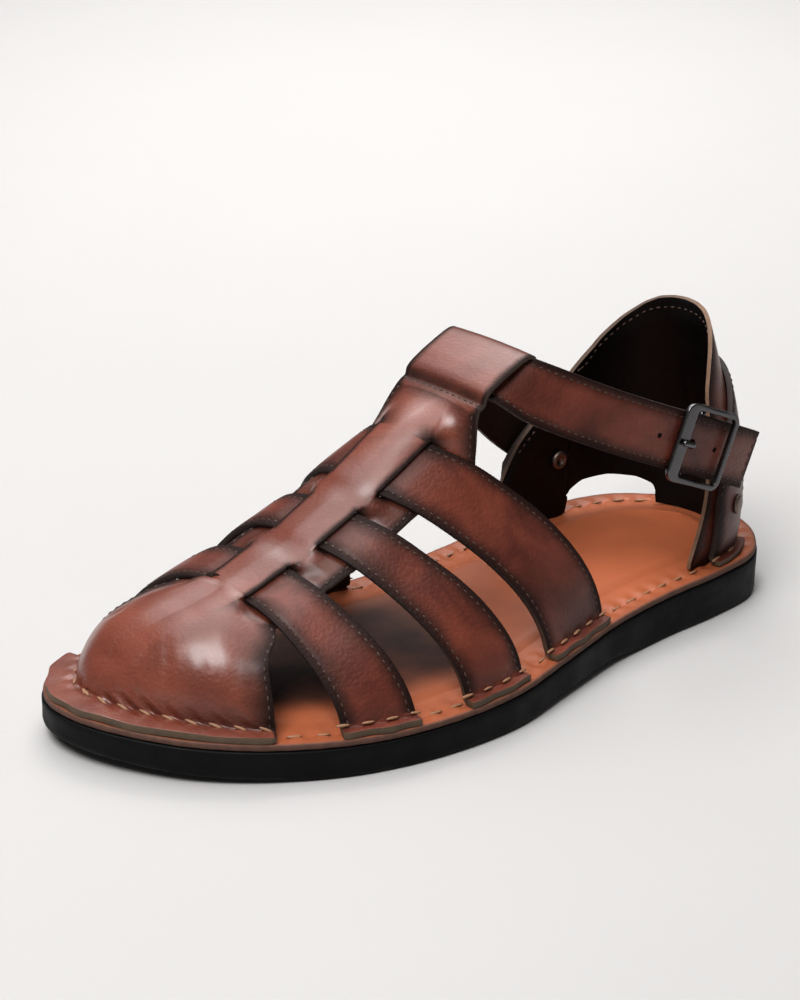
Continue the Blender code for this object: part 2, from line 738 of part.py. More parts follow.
def strap_frames():
    """Middle line of the ankle strap with its along, across and out directions."""
    knots = np.arange(len(PATH), dtype=float)
    at = np.linspace(0.0, len(PATH) - 1.0, STRAP_ROWS + 1)
    line = np.stack([smooth(at, knots, column(PATH, PATH_COLUMNS, k)) for k in ("x", "s", "z")], -1)
    lean = np.radians(smooth(at, knots, column(PATH, PATH_COLUMNS, "lean")))
    along = unit(np.gradient(line, axis=0))
    up = np.stack([np.zeros(len(at)), -np.sin(lean), np.cos(lean)], -1)
    up = unit(up - along * np.sum(up * along, 1)[:, None])
    return line, along, up, unit(np.cross(up, along))


def make_ankle_strap():
    """Strap from the medial side through the instep loop and the buckle to its tail."""
    line, along, up, out = strap_frames()
    rings = []
    for k in range(len(line)):
        front, back = [], []
        for share in STRAP_ACROSS:
            thick = STRAP_THICK / 2 * (STRAP_EDGE_THIN if abs(share) == 1.0 else 1.0)
            middle = line[k] + up[k] * share * STRAP_WIDE / 2
            front.append(middle + out[k] * thick)
            back.append(middle - out[k] * thick)
        rings.append(front + back[::-1])
    strap = loft("ankle_strap", "brown_leather", rings)
    start, end, half, reach = SLOT[0]
    corners = ((start, -half), (end, -half), (end, half), (start, half))
    rings = [[buckle_point(a, w, n) for a, w in corners] for n in (-reach, reach)]
    subtract(strap, loft("slot_cutter", "dark_metal", rings))
    return strap


def buckle_axes():
    """Directions of the buckle: along the strap toward the loop, across it and out from the shoe."""
    along = unit(np.array(BUCKLE_AHEAD) - np.array(BUCKLE_AT))
    lean = math.radians(BUCKLE_LEAN)
    up = np.array([0.0, -math.sin(lean), math.cos(lean)])
    up = unit(up - along * float(up @ along))
    return along, up, unit(np.cross(along, up))


def buckle_point(a, w, n):
    """Point at a along, w across and n out from the buckle's middle."""
    along, up, out = buckle_axes()
    return np.array(BUCKLE_AT) + along * a + up * w + out * n


def round_box(long_low, long_high, tall, radius):
    """Corner points of a rounded box in the buckle's plane, as along and across."""
    found = []
    corners = ((long_high, tall, 0), (long_low, tall, 90), (long_low, -tall, 180), (long_high, -tall, 270))
    for cx, cy, start in corners:
        for k in range(FRAME_CORNER_STEPS + 1):
            angle = math.radians(start + 90.0 * k / FRAME_CORNER_STEPS)
            mx = cx - math.copysign(radius, cx) + radius * math.cos(angle)
            my = cy - math.copysign(radius, cy) + radius * math.sin(angle)
            found.append((mx, my))
    return found


def make_buckle_frame():
    """Rounded frame whose side rails drop past the strap's edges."""
    long, tall = FRAME_HALF_LONG, FRAME_HALF_TALL
    outside = round_box(-long, long, tall, FRAME_CORNER)
    inside = round_box(-long + FRAME_RAIL, long - FRAME_WIDE_BAR, tall - FRAME_RAIL, FRAME_INNER_CORNER)
    rings = []
    for (a, w), (b, v) in zip(outside, inside):
        back = FRAME_BAR_BACK + (FRAME_RAIL_BACK - FRAME_BAR_BACK) * float(ease(long - abs(a), FRAME_DROP))
        face = FRAME_FRONT - FRAME_EASE
        middle = buckle_point((a + b) / 2, (w + v) / 2, FRAME_FRONT)
        rings.append([buckle_point(a, w, face), middle, buckle_point(b, v, face), buckle_point(b, v, back),
                      buckle_point(a, w, back)])
    return loft("buckle_frame", "dark_metal", rings, closed=True)


def rod(name, points, side, radius, sides):
    """Round metal rod through points in a plane square to side, each cut square to the rod."""
    points = np.asarray(points, float)
    other = np.cross(unit(np.gradient(points, axis=0)), side)
    turns = [2 * math.pi * j / sides for j in range(sides)]
    circle = [(radius * math.cos(t), radius * math.sin(t)) for t in turns]
    rings = [[p + c * side + s * o for c, s in circle] for p, o in zip(points, other)]
    return loft(name, "dark_metal", rings)


def make_buckle_pin():
    """Centre bar of the frame, under the strap."""
    along, up, out = buckle_axes()
    reach = FRAME_HALF_TALL - FRAME_RAIL - GAP
    ends = [buckle_point(0.0, w, PIN_DEPTH) for w in (-reach, 0.0, reach)]
    return rod("buckle_pin", ends, along, PIN_RADIUS, PIN_SIDES)


def make_buckle_prong():
    """Prong from the centre bar up through the strap's hole onto the wide bar."""
    along, up, out = buckle_axes()
    reach = zip(column(PRONG, PRONG_COLUMNS, "along"), column(PRONG, PRONG_COLUMNS, "out"))
    return rod("buckle_prong", [buckle_point(a, 0.0, n) for a, n in reach], up, PRONG_RADIUS, PRONG_SIDES)


def make_rivet(name, at, near, hand):
    """Low domed rivet on the heel's wall; hand is 1 outside the wall and -1 inside it."""
    turn, z = at
    small = 0.5
    here = heel_point(np.array(turn), np.array(z), near)
    side = unit(heel_point(np.array(turn + small), np.array(z), near) - here)
    up = unit(heel_point(np.array(turn), np.array(z + small), near) - here)
    out = unit(np.cross(side, up)) * hand
    if float(out @ (heel_point(np.array(turn), np.array(z), near + 1.0) - here)) * hand < 0:
        out = -out
    rings = []
    for radius, rise in ((1.0, GAP), (1.0, GAP + RIVET_THICK), (RIVET_TOP, GAP + RIVET_THICK + RIVET_DOME)):
        turns = [2 * math.pi * k / RIVET_SIDES for k in range(RIVET_SIDES)]
        rings.append([here + out * rise + radius * RIVET_RADIUS * (math.cos(t) * side + math.sin(t) * up)
                      for t in turns])
    return loft(name, "dark_metal", rings)


def main():
    for thing in list(bpy.data.objects):
        bpy.data.objects.remove(thing)
    make_outsole()
    make_insole()
    make_upper()
    make_heel_counter()
    make_heel_band()
    make_ankle_strap()
    make_buckle_frame()
    make_buckle_pin()
    make_buckle_prong()
    make_rivet("rivet_lateral", LATERAL_RIVET, COUNTER_THICK + BAND_GAP + BAND_THICK, 1)
    make_rivet("rivet_medial", MEDIAL_RIVET, 0.0, -1)


main()
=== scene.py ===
"""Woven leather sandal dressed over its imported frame: leathers, thread, rubber, metal and a plain stage.

Shoe sizes are in millimetres: x to the lateral side, s forward from the heel's back, z up from the floor.
"""

import json
import math
from types import SimpleNamespace

import bmesh
import bpy
import numpy as np
from mathutils import Matrix
from mathutils.kdtree import KDTree

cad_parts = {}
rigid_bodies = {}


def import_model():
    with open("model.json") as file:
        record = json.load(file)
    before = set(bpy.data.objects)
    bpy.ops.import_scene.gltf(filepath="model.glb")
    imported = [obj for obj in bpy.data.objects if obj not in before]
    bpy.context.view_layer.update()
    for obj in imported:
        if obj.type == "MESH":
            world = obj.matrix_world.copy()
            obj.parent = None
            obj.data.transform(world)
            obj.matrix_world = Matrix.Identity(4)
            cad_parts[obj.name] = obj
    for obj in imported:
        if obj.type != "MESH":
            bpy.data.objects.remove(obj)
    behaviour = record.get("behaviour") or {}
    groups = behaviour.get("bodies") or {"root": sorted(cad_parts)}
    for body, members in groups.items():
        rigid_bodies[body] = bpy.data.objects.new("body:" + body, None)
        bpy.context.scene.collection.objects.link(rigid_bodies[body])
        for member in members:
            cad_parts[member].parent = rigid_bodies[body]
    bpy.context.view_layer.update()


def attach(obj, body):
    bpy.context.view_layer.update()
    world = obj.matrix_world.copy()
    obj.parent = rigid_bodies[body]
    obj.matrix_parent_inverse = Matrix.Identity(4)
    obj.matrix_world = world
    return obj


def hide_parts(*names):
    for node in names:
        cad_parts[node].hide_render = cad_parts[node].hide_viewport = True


bl_info = {
    "name": "Woven leather sandal",
    "version": (1, 0, 0),
    "blender": (4, 5, 0),
    "location": "View3D > Sidebar > Sandal",
    "description": "Builds the leathers, stitching, sole, buckle and stage of a woven leather sandal",
    "category": "Add Mesh",
}

for leftover in list(bpy.data.objects):
    bpy.data.objects.remove(leftover)
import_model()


def table(columns, *rows):
    """Table of sizes: one array for each named column."""
    return dict(zip(columns.split(), (np.array(values) for values in zip(*rows))))


MM = 0.001
LENGTH = 290.0
TURN_DEG = 5.0
GAP = 0.3

# Sole's outline: share of the length, x of its lateral and its medial edge.
OUTLINE = table(
    "share lateral medial",
    (0.000, 0.0, 0.0), (0.030, 26.2, -22.0), (0.080, 38.3, -35.2), (0.160, 42.0, -42.2),
    (0.260, 42.8, -42.6), (0.360, 45.8, -41.7), (0.460, 52.2, -42.0), (0.560, 58.2, -46.4),
    (0.660, 57.4, -52.9), (0.760, 50.6, -58.2), (0.860, 35.4, -59.6), (0.930, 18.0, -55.0),
    (0.975, -1.2, -45.0), (1.000, -27.0, -27.0),
)
OUTLINE_STEPS = 46

# Outsole and footbed: share of the length and height of the sole's top, then single sizes.
SOLE = table(
    "share top",
    (0.0, 15.8), (0.15, 15.6), (0.3, 14.9), (0.45, 13.2), (0.6, 11.6), (0.75, 10.8), (0.88, 11.6),
    (1.0, 14.0),
)
WAIST_LIFT = 2.0
WAIST_RISE = (0.30, 0.37)
WAIST_FALL = (0.48, 0.56)
TOE_SPRING = 5.0
TOE_SPRING_START = 0.78
RIM_THICK = 2.2
GROOVE_INSET = 7.0
PAD_START = 15.5
PAD_END = 20.5
PAD_RISE = 1.6
PAD_WOBBLE = (0.12, 37.0)
HEEL_CUP = 0.5
HEEL_CUP_ENDS = (60.0, 120.0)
# Footbed's stain and painted shadow under the straps: lengths from the heel where they start and where they
# end, and distances in from the sole's edge.
STAIN_SHADE_STARTS = (128.0, 165.0)
STAIN_SHADE_ENDS = (255.0, 272.0)
STAIN_SHADE_INWARD = (13.0, 31.0)
RIM_PULL = 0.42
RIM_RAGGED = (0.25, 9.0)
# Footbed's rim from its lower edge to the pad: inset, height over the rim, share of raw leather.
RIM_STEPS = (
    (0.9, -RIM_THICK, 1.0), (0.55, -RIM_THICK + 0.3, 1.0), (0.5, -1.4, 1.0), (0.45, -0.9, 1.0),
    (0.55, -0.35, 1.0), (0.8, -0.08, 0.9), (1.3, 0.0, 0.45), (2.2, 0.02, 0.1), (3.6, 0.0, 0.0),
    (5.0, 0.0, 0.0), (5.8, -0.05, 0.0), (6.4, -0.25, 0.0), (7.0, -0.45, 0.0), (7.6, -0.25, 0.0),
    (8.2, -0.05, 0.0), (9.5, 0.0, 0.0), (12.0, 0.0, 0.0), (PAD_START, 0.0, 0.0), (15.9, 0.18, 0.0),
    (17.0, 0.62, 0.0), (18.2, 1.1, 0.0), (19.4, 1.45, 0.0), (PAD_END, PAD_RISE, 0.0),
)
# Outsole's side from its top to its foot: inset, share of the sole's height, height added.
SOLE_SIDE = (
    (0.9, 1.0, 0.0), (0.25, 1.0, -0.12), (0.0, 1.0, -0.6), (0.0, 0.75, 0.0), (0.08, 0.5, 0.0),
    (0.0, 0.25, 0.0), (0.0, 0.0, 1.9), (0.25, 0.0, 0.9), (0.9, 0.0, 0.25), (1.7, 0.0, 0.0),
)
TREAD_PITCH = 7.5
TREAD_DEPTH = 0.7
TREAD_RIB = (-0.35, 0.2)
TREAD_BORDER = (6.0, 7.5)
TREAD_STOPS = (0.29, 0.32)
TREAD_STARTS = (0.53, 0.56)
# Lengths from the heel where leather covers the welt's stitches.
COVERED = {
    "lateral": ((21.0, 53.0), (104.5, 141.5), (154.5, 185.5), (202.5, 231.5), (248.0, 290.0)),
    "medial": ((51.0, 82.0), (151.5, 180.5), (191.5, 213.5), (224.5, 245.5), (263.0, 290.0)),
}
WELT_SINK = 0.45

# Upper: single sizes. WOBBLE and RAGGED hold an amount and a pitch, SPAN a start and an end.
WALL = 2.0
FEATHER = 7.0
FEATHER_TOE = 13.5
FEATHER_SPAN = (228.0, 284.0)
TAB_END = 1.2
TAB_LIFT = 0.25
BEND_SOFT = 1.9
BEND_TURN = 3.2
STRAP_LIFT = 1.5
STRAP_CROWN = 0.5
STRAP_SKIVE = 0.25
STRAP_SKIVE_SPAN = (-8.0, -2.0)
STRAP_WOBBLE = (0.22, 31.0)
TAB_DIMPLE = 0.6
TAB_RAGGED = (0.7, 13.0)
BRIDGE_LIFT = 2.9
BRIDGE_DIP = 0.5
BRIDGE_RUN = 15.0
BRIDGE_SOFT = 3.4
BRIDGE_SINK = 0.4
WING_DIP = 0.45
SLIT = 9.2
SLIT_OPEN = 0.35
SLIT_FILLET = 1.8
SLIT_SPREAD = 0.75
CAP_FILLET = {"lateral": 0.85, "medial": 0.5}
CAP_FILLET_SPAN = 0.14
DRAPE = 5.0
STRAP_SETTLE = (-4.0, 16.0)
PLEAT_RISE = 2.3
PLEAT_SPAN = (1.0, 10.0)
PLEAT_SLANT = 0.8
PLEAT_SLANT_SPAN = (0.0, 16.0)
PLEAT_WOBBLE = (0.6, 37.0)
FLANGE_RAGGED = (0.8, 17.0)
CAP_WOBBLE = (0.25, 23.0)
RIDGE_PINCH = 5.0
STITCH_SLANT = -15.0
STITCH_HIGH = 0.9
STITCH_SEED = 7
STITCH_SIZES = (0.86, 1.12)
TAN_LIFT = 0.25
EDGE_ANGLE = 58.0
LINE_STEP = 0.5
WOVEN_STEP = 0.7
CAP_ROWS = 60
VAMP_ROWS = 21
LOOP_ROWS = 96
# How fast the dark of an edge fades on each part of the spine, and where raw leather ends it.
RIM_SCALE = {"cap": 0.6, "bridge": 2.6, "vamp": 0.8, "loop": 2.0}
RAW_RIM = 8.0
# How dark each mark makes the spine: around the slits where straps pass, the wings past the slits, the loop
# seam, the loop's rear fold and the cap's foot.
SPINE_DARKENING = {"slit": 0.4, "wing": 0.4, "seam": 0.55, "rear fold": 0.33, "foot": 0.12}
SWEEP = {"lateral": 1.5, "medial": 2.0}
STRAP_ROUND = {"lateral": 1.75, "medial": 2.5}
CAP_ROUND = {"lateral": 2.3, "medial": 2.3}

# Ridge of the last: length from the heel, x and height.
RIDGE = table(
    "s x z",
    (120.0, -2.0, 110.0), (145.0, -3.0, 96.5), (161.5, -4.0, 85.0), (182.0, -4.5, 71.5),
    (205.0, -6.0, 58.0), (216.0, -7.5, 52.5), (235.5, -9.5, 45.0), (246.0, -11.0, 43.8),
    (254.0, -13.5, 41.6), (262.0, -17.0, 37.0), (269.0, -21.0, 30.0), (274.0, -24.5, 22.5),
    (276.5, -27.0, 17.0),
)

# Edges of cap and straps: lengths from the heel at the ridge and on both sides, arch, wing.
EDGES = table(
    "name ridge lateral medial arch wing",
    ("cap rear", 235.5, 249.0, 264.0, 1.5, 23.0),
    ("strap 1 front", 233.0, 230.0, 244.0, 0.0, 23.0),
    ("strap 1 rear", 216.0, 204.0, 226.0, 0.0, 23.0),
    ("strap 2 front", 205.0, 184.0, 212.0, 0.0, 23.0),
    ("strap 2 rear", 190.5, 156.0, 193.0, 0.0, 23.0),
    ("strap 3 front", 182.0, 140.0, 179.0, 1.5, 23.0),
    ("strap 3 rear", 161.5, 106.0, 153.0, 0.5, 27.0),
)
LAST_EDGE = len(EDGES["name"]) - 1

# Instep loop: its path runs over the top, round the rear fold and forward underneath.
LOOP_HALF = 19.5
LOOP_BOW = 0.6
LOOP_TUCK = 5.0
LOOP_TUCK_SPAN = (0.3, 1.5)
LOOP_COLUMNS_WIDE = 27.0
LOOP_SOFT = 0.7
LOOP_FRONT = 145.5
LOOP_PATH = table(
    "s out",
    (145.5, 2.0), (144.4, 1.95), (143.6, 1.75), (143.2, 1.85), (142.8, 2.6), (142.2, 3.5),
    (141.2, 4.15), (139.0, 4.6), (134.0, 4.85), (129.0, 4.8), (125.0, 4.65), (122.6, 4.2), (121.1, 3.3),
    (120.4, 2.1), (120.3, 1.2), (120.8, 0.0), (122.2, -1.2), (124.5, -1.8), (128.0, -2.0),
    (134.0, -2.0), (140.0, -1.8), (144.0, -1.2),
)
LOOP_SEAM = 143.2
LOOP_STITCH = 144.4

# Heel's wall: height, half width and length from the heel's back, then counter and band.
HEEL = table(
    "z half back",
    (14.0, 31.3, 13.0), (40.0, 32.6, 12.0), (70.0, 29.0, 17.0), (90.0, 24.0, 22.5), (110.0, 18.5, 28.5),
)
HEEL_CENTRE = 46.0
HEEL_FORWARD = 0.6
HEEL_FLARE = 0.03
HEEL_FOOT = 18.0
COUNTER_THICK = 2.4
COUNTER_SKIVE = 0.8
COUNTER_SKIVE_SPAN = (0.0, 9.0)
COUNTER_RAW_SPAN = (-40.0, 25.0)
COUNTER_ROWS = 46
COUNTER_FOLD = 0.35
COUNTER_FOLDS = (-8.0, 14.0, 33.0)
COUNTER_STITCH = 3.2
COUNTER_STITCHED = (-140.0, 87.0)
BAND_THICK = 2.0
BAND_GAP = 0.45
BAND_TAB = 5.2
BAND_ROWS = 40
BAND_TAB_ROWS = 12
BAND_CROWN = 0.35
BAND_WOBBLE = (0.2, 29.0)
BAND_FEET = ((-144.0, -99.0), (51.5, 86.0))
BAND_ARCH = (-96.0, 48.0)
# Mark in a wall's table for a place where the wall stands on the rim.
FOOT = -1.0

# Counter and band: turn from the heel's back in degrees, heights of top and bottom.
COUNTER = table(
    "turn top bottom",
    (-160.0, 24.0, FOOT), (-152.0, 38.0, FOOT), (-140.0, 52.0, FOOT), (-130.0, 58.5, FOOT),
    (-115.0, 69.0, FOOT), (-100.0, 80.0, FOOT), (-97.0, 82.0, 26.5), (-85.0, 89.0, 29.4),
    (-65.0, 97.0, 30.0), (-45.0, 103.0, 28.5), (-32.0, 105.5, 25.5), (-30.5, 105.8, FOOT),
    (-15.0, 107.0, FOOT), (0.0, 107.4, FOOT), (15.0, 107.2, FOOT), (30.5, 106.2, FOOT),
    (32.0, 106.0, 25.5), (42.0, 104.4, 28.5), (52.0, 102.0, 29.0), (62.0, 98.6, 26.0),
    (63.5, 98.0, FOOT), (74.0, 92.5, FOOT), (84.0, 84.0, FOOT), (88.0, 76.0, FOOT), (89.5, 52.0, FOOT),
    (96.0, 36.0, FOOT), (103.0, 21.0, FOOT),
)
BAND = table(
    "turn top bottom",
    (-146.0, 44.0, FOOT), (-140.0, 50.0, FOOT), (-130.0, 56.0, FOOT), (-115.0, 63.0, FOOT),
    (-98.5, 69.0, FOOT), (-97.0, 70.0, 36.0), (-80.0, 76.0, 42.0), (-55.0, 82.0, 46.0),
    (-25.0, 85.5, 48.0), (0.0, 86.5, 48.5), (25.0, 85.5, 47.0), (45.0, 82.0, 42.0), (49.0, 80.5, 38.0),
    (50.5, 80.0, FOOT), (62.0, 74.0, FOOT), (74.0, 64.0, FOOT), (82.0, 54.0, FOOT), (87.0, 44.0, FOOT),
)

# Ankle strap: sizes, holes along the buckle, and a middle line with its lean in degrees.
STRAP_WIDE = 21.6
STRAP_THICK = 2.2
TAIL_TRIM = 2.0
LOOP_SQUEEZE = 0.08
LOOP_SHIFT = 1.0
PRONG_HOLE = 4.4
HOLES_ALONG = (20.5, PRONG_HOLE, -8.6)
HOLE_DENT = 0.28
PATH = table(
    "x s z lean",
    (-39.9, 50.0, 40.0, 8.0), (-39.9, 62.0, 49.5, 12.0), (-38.8, 79.0, 62.5, 22.0),
    (-32.5, 98.0, 78.0, 34.0), (-26.8, 118.0, 94.5, 48.0), (-18.0, 132.2, 103.8, 60.0),
    (-2.5, 134.0, 104.6, 61.5), (13.0, 132.2, 103.8, 60.0), (22.0, 122.0, 98.5, 48.0),
    (28.6, 106.0, 90.3, 36.0), (33.8, 90.0, 82.8, 28.0), (37.0, 74.0, 75.8, 22.0),
    (38.6, 57.0, 68.6, 21.0), (38.9, 42.0, 62.0, 21.0), (37.6, 28.5, 55.8, 21.0),
)
PATH_MIDDLE = -2.5

# Buckle: its middle, a point ahead of it on the strap, and sizes.
BUCKLE_AT = (38.4, 59.4, 69.6)
BUCKLE_AHEAD = (37.0, 74.0, 75.8)
BUCKLE_LEAN = 21.0
FRAME_HALF_LONG = 13.6
FRAME_HALF_TALL = 14.4
FRAME_RAIL = 2.1
FRAME_WIDE_BAR = 5.4
FRAME_CORNER = 4.0
FRAME_INNER_CORNER = 1.3
FRAME_FRONT = 3.6
FRAME_BAR_BACK = 1.6
FRAME_RAIL_BACK = -3.4
FRAME_LUG = (7.0, 10.5)
FRAME_SQUARE = 0.34
PIN_RADIUS = 1.0
PIN_DEPTH = -2.5
PRONG_RADIUS = 1.15
PRONG = table("along out", (1.7, -2.6), (3.6, -2.2), (5.0, 1.4), (6.8, 4.5), (9.6, 5.15), (12.8, 5.1))

RIVET_RADIUS = 3.6
# Profiles from the foot to the middle: share of the radius, share of the rise.
RIVET_DOME = (
    (1.0, 0.0), (1.0, 0.45), (0.97, 0.68), (0.88, 0.82), (0.7, 0.92), (0.45, 0.98), (0.2, 1.0), (0.0, 1.0),
)
RIVET_RING = (
    (1.0, 0.0), (1.0, 0.4), (0.95, 0.7), (0.84, 0.92), (0.7, 1.0), (0.56, 0.92), (0.46, 0.6),
    (0.4, 0.35), (0.0, 0.3),
)
RIVET_RISE = 1.5
LATERAL_RIVET = (68.0, 38.5)
MEDIAL_RIVET = (-106.0, 41.0)

# Camera: place and axes in the part's frame, in metres.
CAMERA_AT = (0.63977, -0.51297, 0.40523)
CAMERA_RIGHT = (0.60219, 0.79812, 0.01931)
CAMERA_UP = (-0.32012, 0.21924, 0.92166)
CAMERA_BACK = (0.73136, -0.56119, 0.38752)
CAMERA_LENS = 93.6
# Lamps: name, place, aim, size, power and spread in degrees.
LAMPS = (
    ("key", (-0.3, 0.0, 1.1), (0.0, 0.0, 0.04), 1.2, 10.5, 180.0),
    ("front", (0.25, -0.66, 1.1), (0.0, -0.04, 0.04), 0.65, 16.5, 180.0),
    ("back", (-0.9, 0.7, 1.15), (-0.8, 0.64, 0.0), 1.2, 10.0, 110.0),
)
WORLD_STRENGTH = 0.12
FLOOR_HALF = 6

# Finishes of burnished leather: reach of dark edges, roughness, weight and haze of the wax.
CAP_FINISH = {"reach": 7.5, "rough": 0.38, "wax": 0.9, "haze": 0.3}
STRAP_FINISH = {"reach": 8.5, "rough": 0.42, "wax": 0.5, "haze": 0.33}
DULL_SPECULAR = 0.12

# Creases of the cap: x and s of both ends, depth, width.
CAP_CREASES = (
    (16.0, 262.0, 5.0, 256.0, 0.22, 1.5), (5.0, 270.0, -3.0, 263.0, 0.24, 1.4),
    (-9.0, 275.0, -11.0, 265.0, 0.22, 1.3), (23.0, 255.0, 12.0, 250.0, 0.2, 1.4),
    (0.0, 266.0, -7.0, 259.0, 0.14, 1.1), (-38.0, 262.0, -30.0, 258.0, 0.22, 1.5),
    (-24.0, 274.0, -20.0, 267.0, 0.2, 1.3), (2.0, 245.0, 12.0, 247.0, 0.07, 0.9),
)
# Creases of the ankle strap: share of its length, low and high share of its half width, depth, width.
ANKLE_CREASES = (
    (0.742, -0.7, 0.1, 0.1, 0.7), (0.757, -0.4, 0.7, 0.08, 0.6), (0.60, -0.4, 0.9, 0.1, 1.6),
    (0.645, -0.8, 0.2, 0.08, 1.2), (0.30, -0.7, 0.6, 0.14, 1.5),
)

threads = {"brown": [], "tan": []}


def hump(at, spread):
    """Smooth hump of height 1 at zero, fading over a spread."""
    return np.exp(-(np.asarray(at, float) / spread) ** 2)


def full_turn(steps):
    """Angles of a full turn in even steps."""
    return np.linspace(0.0, 2 * math.pi, steps, endpoint=False)


def stretches(mask, least):
    """Runs of neighbouring places where a mask is set, those of at least so many."""
    found = np.flatnonzero(mask)
    runs = np.split(found, np.flatnonzero(np.diff(found) > 1) + 1)
    return [run for run in runs if len(run) >= least]


def smooth(at, knots, values):
    """Cubic curve through a table's column, with slopes from the neighbouring rows."""
    at, knots, values = (np.asarray(v, float) for v in (at, knots, values))
    slopes = np.gradient(values, knots)
    i = np.clip(np.searchsorted(knots, at, side="right") - 1, 0, len(knots) - 2)
    step = knots[i + 1] - knots[i]
    t = np.clip((at - knots[i]) / step, 0.0, 1.0)
    low = values[i] * (1 + 2 * t) * (1 - t) ** 2 + values[i + 1] * t * t * (3 - 2 * t)
    return low + step * (slopes[i] * t * (1 - t) ** 2 - slopes[i + 1] * t * t * (1 - t))


def ease(at, span):
    """Smooth step from 0 to 1 over a span."""
    t = np.clip((np.asarray(at, float) - span[0]) / (span[1] - span[0]), 0.0, 1.0)
    return t * t * (3 - 2 * t)


def unit(vectors):
    """Vectors at length one."""
    vectors = np.asarray(vectors, float)
    return vectors / np.maximum(np.linalg.norm(vectors, axis=-1, keepdims=True), 1e-9)


def lengths(points):
    """Length along a line of points, from its first."""
    return np.concatenate([[0.0], np.cumsum(np.linalg.norm(np.diff(points, axis=0), axis=1))])


def at_lengths(points, run, at):
    """Points of a line at given lengths along it."""
    return np.stack([np.interp(at, run, points[:, k]) for k in range(points.shape[1])], -1)


def soften(points, spread):
    """A line of points smoothed over a spread of steps, its ends kept."""
    reach = min(len(points) - 1, max(1, int(3 * spread)))
    weights = np.exp(-0.5 * (np.arange(-reach, reach + 1) / spread) ** 2)
    weights = weights / weights.sum()
    head = 2 * points[0] - points[1:reach + 1][::-1]
    tail = 2 * points[-1] - points[-reach - 1:-1][::-1]
    padded = np.concatenate([head, points, tail])
    return np.stack([np.convolve(values, weights, "valid") for values in padded.T], -1)


def sweep_angle(s):
    """Angle along the outline, 0 at the heel and pi at the toe, for a length from the heel."""
    return np.arccos(np.clip(1.0 - 2.0 * np.asarray(s, float) / LENGTH, -1.0, 1.0))


def edge(angle, side, inset):
    """Points (x, s) of the sole's outline on one side, moved inward by inset."""
    knots = sweep_angle(OUTLINE["share"] * LENGTH)
    values = OUTLINE[side]
    small = 1e-3
    before = np.clip(angle - small, 0.0, math.pi)
    after = np.clip(angle + small, 0.0, math.pi)
    run_x = smooth(after, knots, values) - smooth(before, knots, values)
    run_s = LENGTH / 2 * (np.cos(before) - np.cos(after))
    at_end = (angle < small) | (angle > math.pi - small)
    run_s = np.where(at_end, 0.0, run_s)
    hand = -1.0 if side == "lateral" else 1.0
    inward = unit(np.stack([hand * run_s, -hand * run_x], -1))
    base = np.stack([smooth(angle, knots, values), LENGTH / 2 * (1 - np.cos(angle))], -1)
    return base + np.asarray(inset, float)[..., None] * inward


def sole_top(s):
    """Height of the outsole's top at a length from the heel."""
    return smooth(s / LENGTH, SOLE["share"], SOLE["top"])


def sole_bottom(s):
    """Height of the outsole's underside: flat heel and forefoot, lifted waist and toe spring."""
    share = s / LENGTH
    waist = WAIST_LIFT * ease(share, WAIST_RISE) * (1.0 - ease(share, WAIST_FALL))
    spring = np.clip((share - TOE_SPRING_START) / (1.0 - TOE_SPRING_START), 0.0, 1.0)
    return waist + TOE_SPRING * spring ** 1.8


def rim_top(s):
    """Height of the footbed's stitched rim."""
    return sole_top(s) + GAP + RIM_THICK


def seat(s):
    """Height at which leather lies on the rim."""
    return rim_top(s) + GAP


def turned(points):
    """Shoe sizes turned to the part's axes, in millimetres and not yet centred."""
    x, s, z = np.moveaxis(np.asarray(points, float), -1, 0)
    y = LENGTH / 2 - s
    cos, sin = math.cos(math.radians(TURN_DEG)), math.sin(math.radians(TURN_DEG))
    return np.stack([x * cos - y * sin, x * sin + y * cos, z], -1)


def outline_centre():
    """Middle of the outline's box, which is the part's origin."""
    angle = np.linspace(0.0, math.pi, OUTLINE_STEPS + 1)
    both = np.concatenate([edge(angle, side, 0.0) for side in ("lateral", "medial")])
    flat = turned(np.concatenate([both, np.zeros((len(both), 1))], 1))
    return (flat.min(0) + flat.max(0)) / 2


CENTRE = outline_centre()


def place(points):
    """Shoe sizes in millimetres to the part's frame in metres."""
    return (turned(points) - CENTRE) * MM


def place_direction(vectors):
    """Directions in shoe axes turned to the part's axes."""
    return unit(turned(vectors) - turned(np.zeros(3)))


def wobble(points, amount, pitch):
    """Small slow unevenness of hand-cut leather at points, in millimetres."""
    waves = ((0.9, 0.3, 0.5, 0.2), (-0.4, 1.0, 0.6, 1.7), (0.5, -0.8, 1.1, 3.1), (1.3, 0.7, -0.6, 4.4))
    total = sum(np.sin(2 * math.pi / pitch * (points @ np.array(w[:3])) + w[3]) for w in waves)
    return amount * total / len(waves)


def normals_of(grid, keep):
    """Unit normals of a grid's points from the kept cells around them, shared where points coincide."""
    rows, cols = grid.shape[:2]
    same = np.unique(np.round(grid.reshape(-1, 3), 3), axis=0, return_inverse=True)[1].reshape(rows, cols)
    a, b, c, d = grid[:-1, :-1], grid[1:, :-1], grid[1:, 1:], grid[:-1, 1:]
    face = np.cross(d - b, c - a) * keep[..., None]
    total = np.zeros((same.max() + 1, 3))
    for corner in (same[:-1, :-1], same[1:, :-1], same[1:, 1:], same[:-1, 1:]):
        np.add.at(total, corner.ravel(), face.reshape(-1, 3))
    return unit(total)[same]


def slow_normals(grid, normals, reach):
    """Normals turned more slowly along each row, so that leather offset by them never folds in a bend."""
    found = np.empty(normals.shape)
    for i, row in enumerate(grid):
        run = lengths(row) + 1e-6 * np.arange(len(row))
        even = np.linspace(0.0, run[-1], max(24, int(run[-1] / 0.5)))
        turned_slowly = soften(at_lengths(normals[i], run, even), reach / (even[1] - even[0]))
        found[i] = unit(at_lengths(turned_slowly, even, run))
    return found


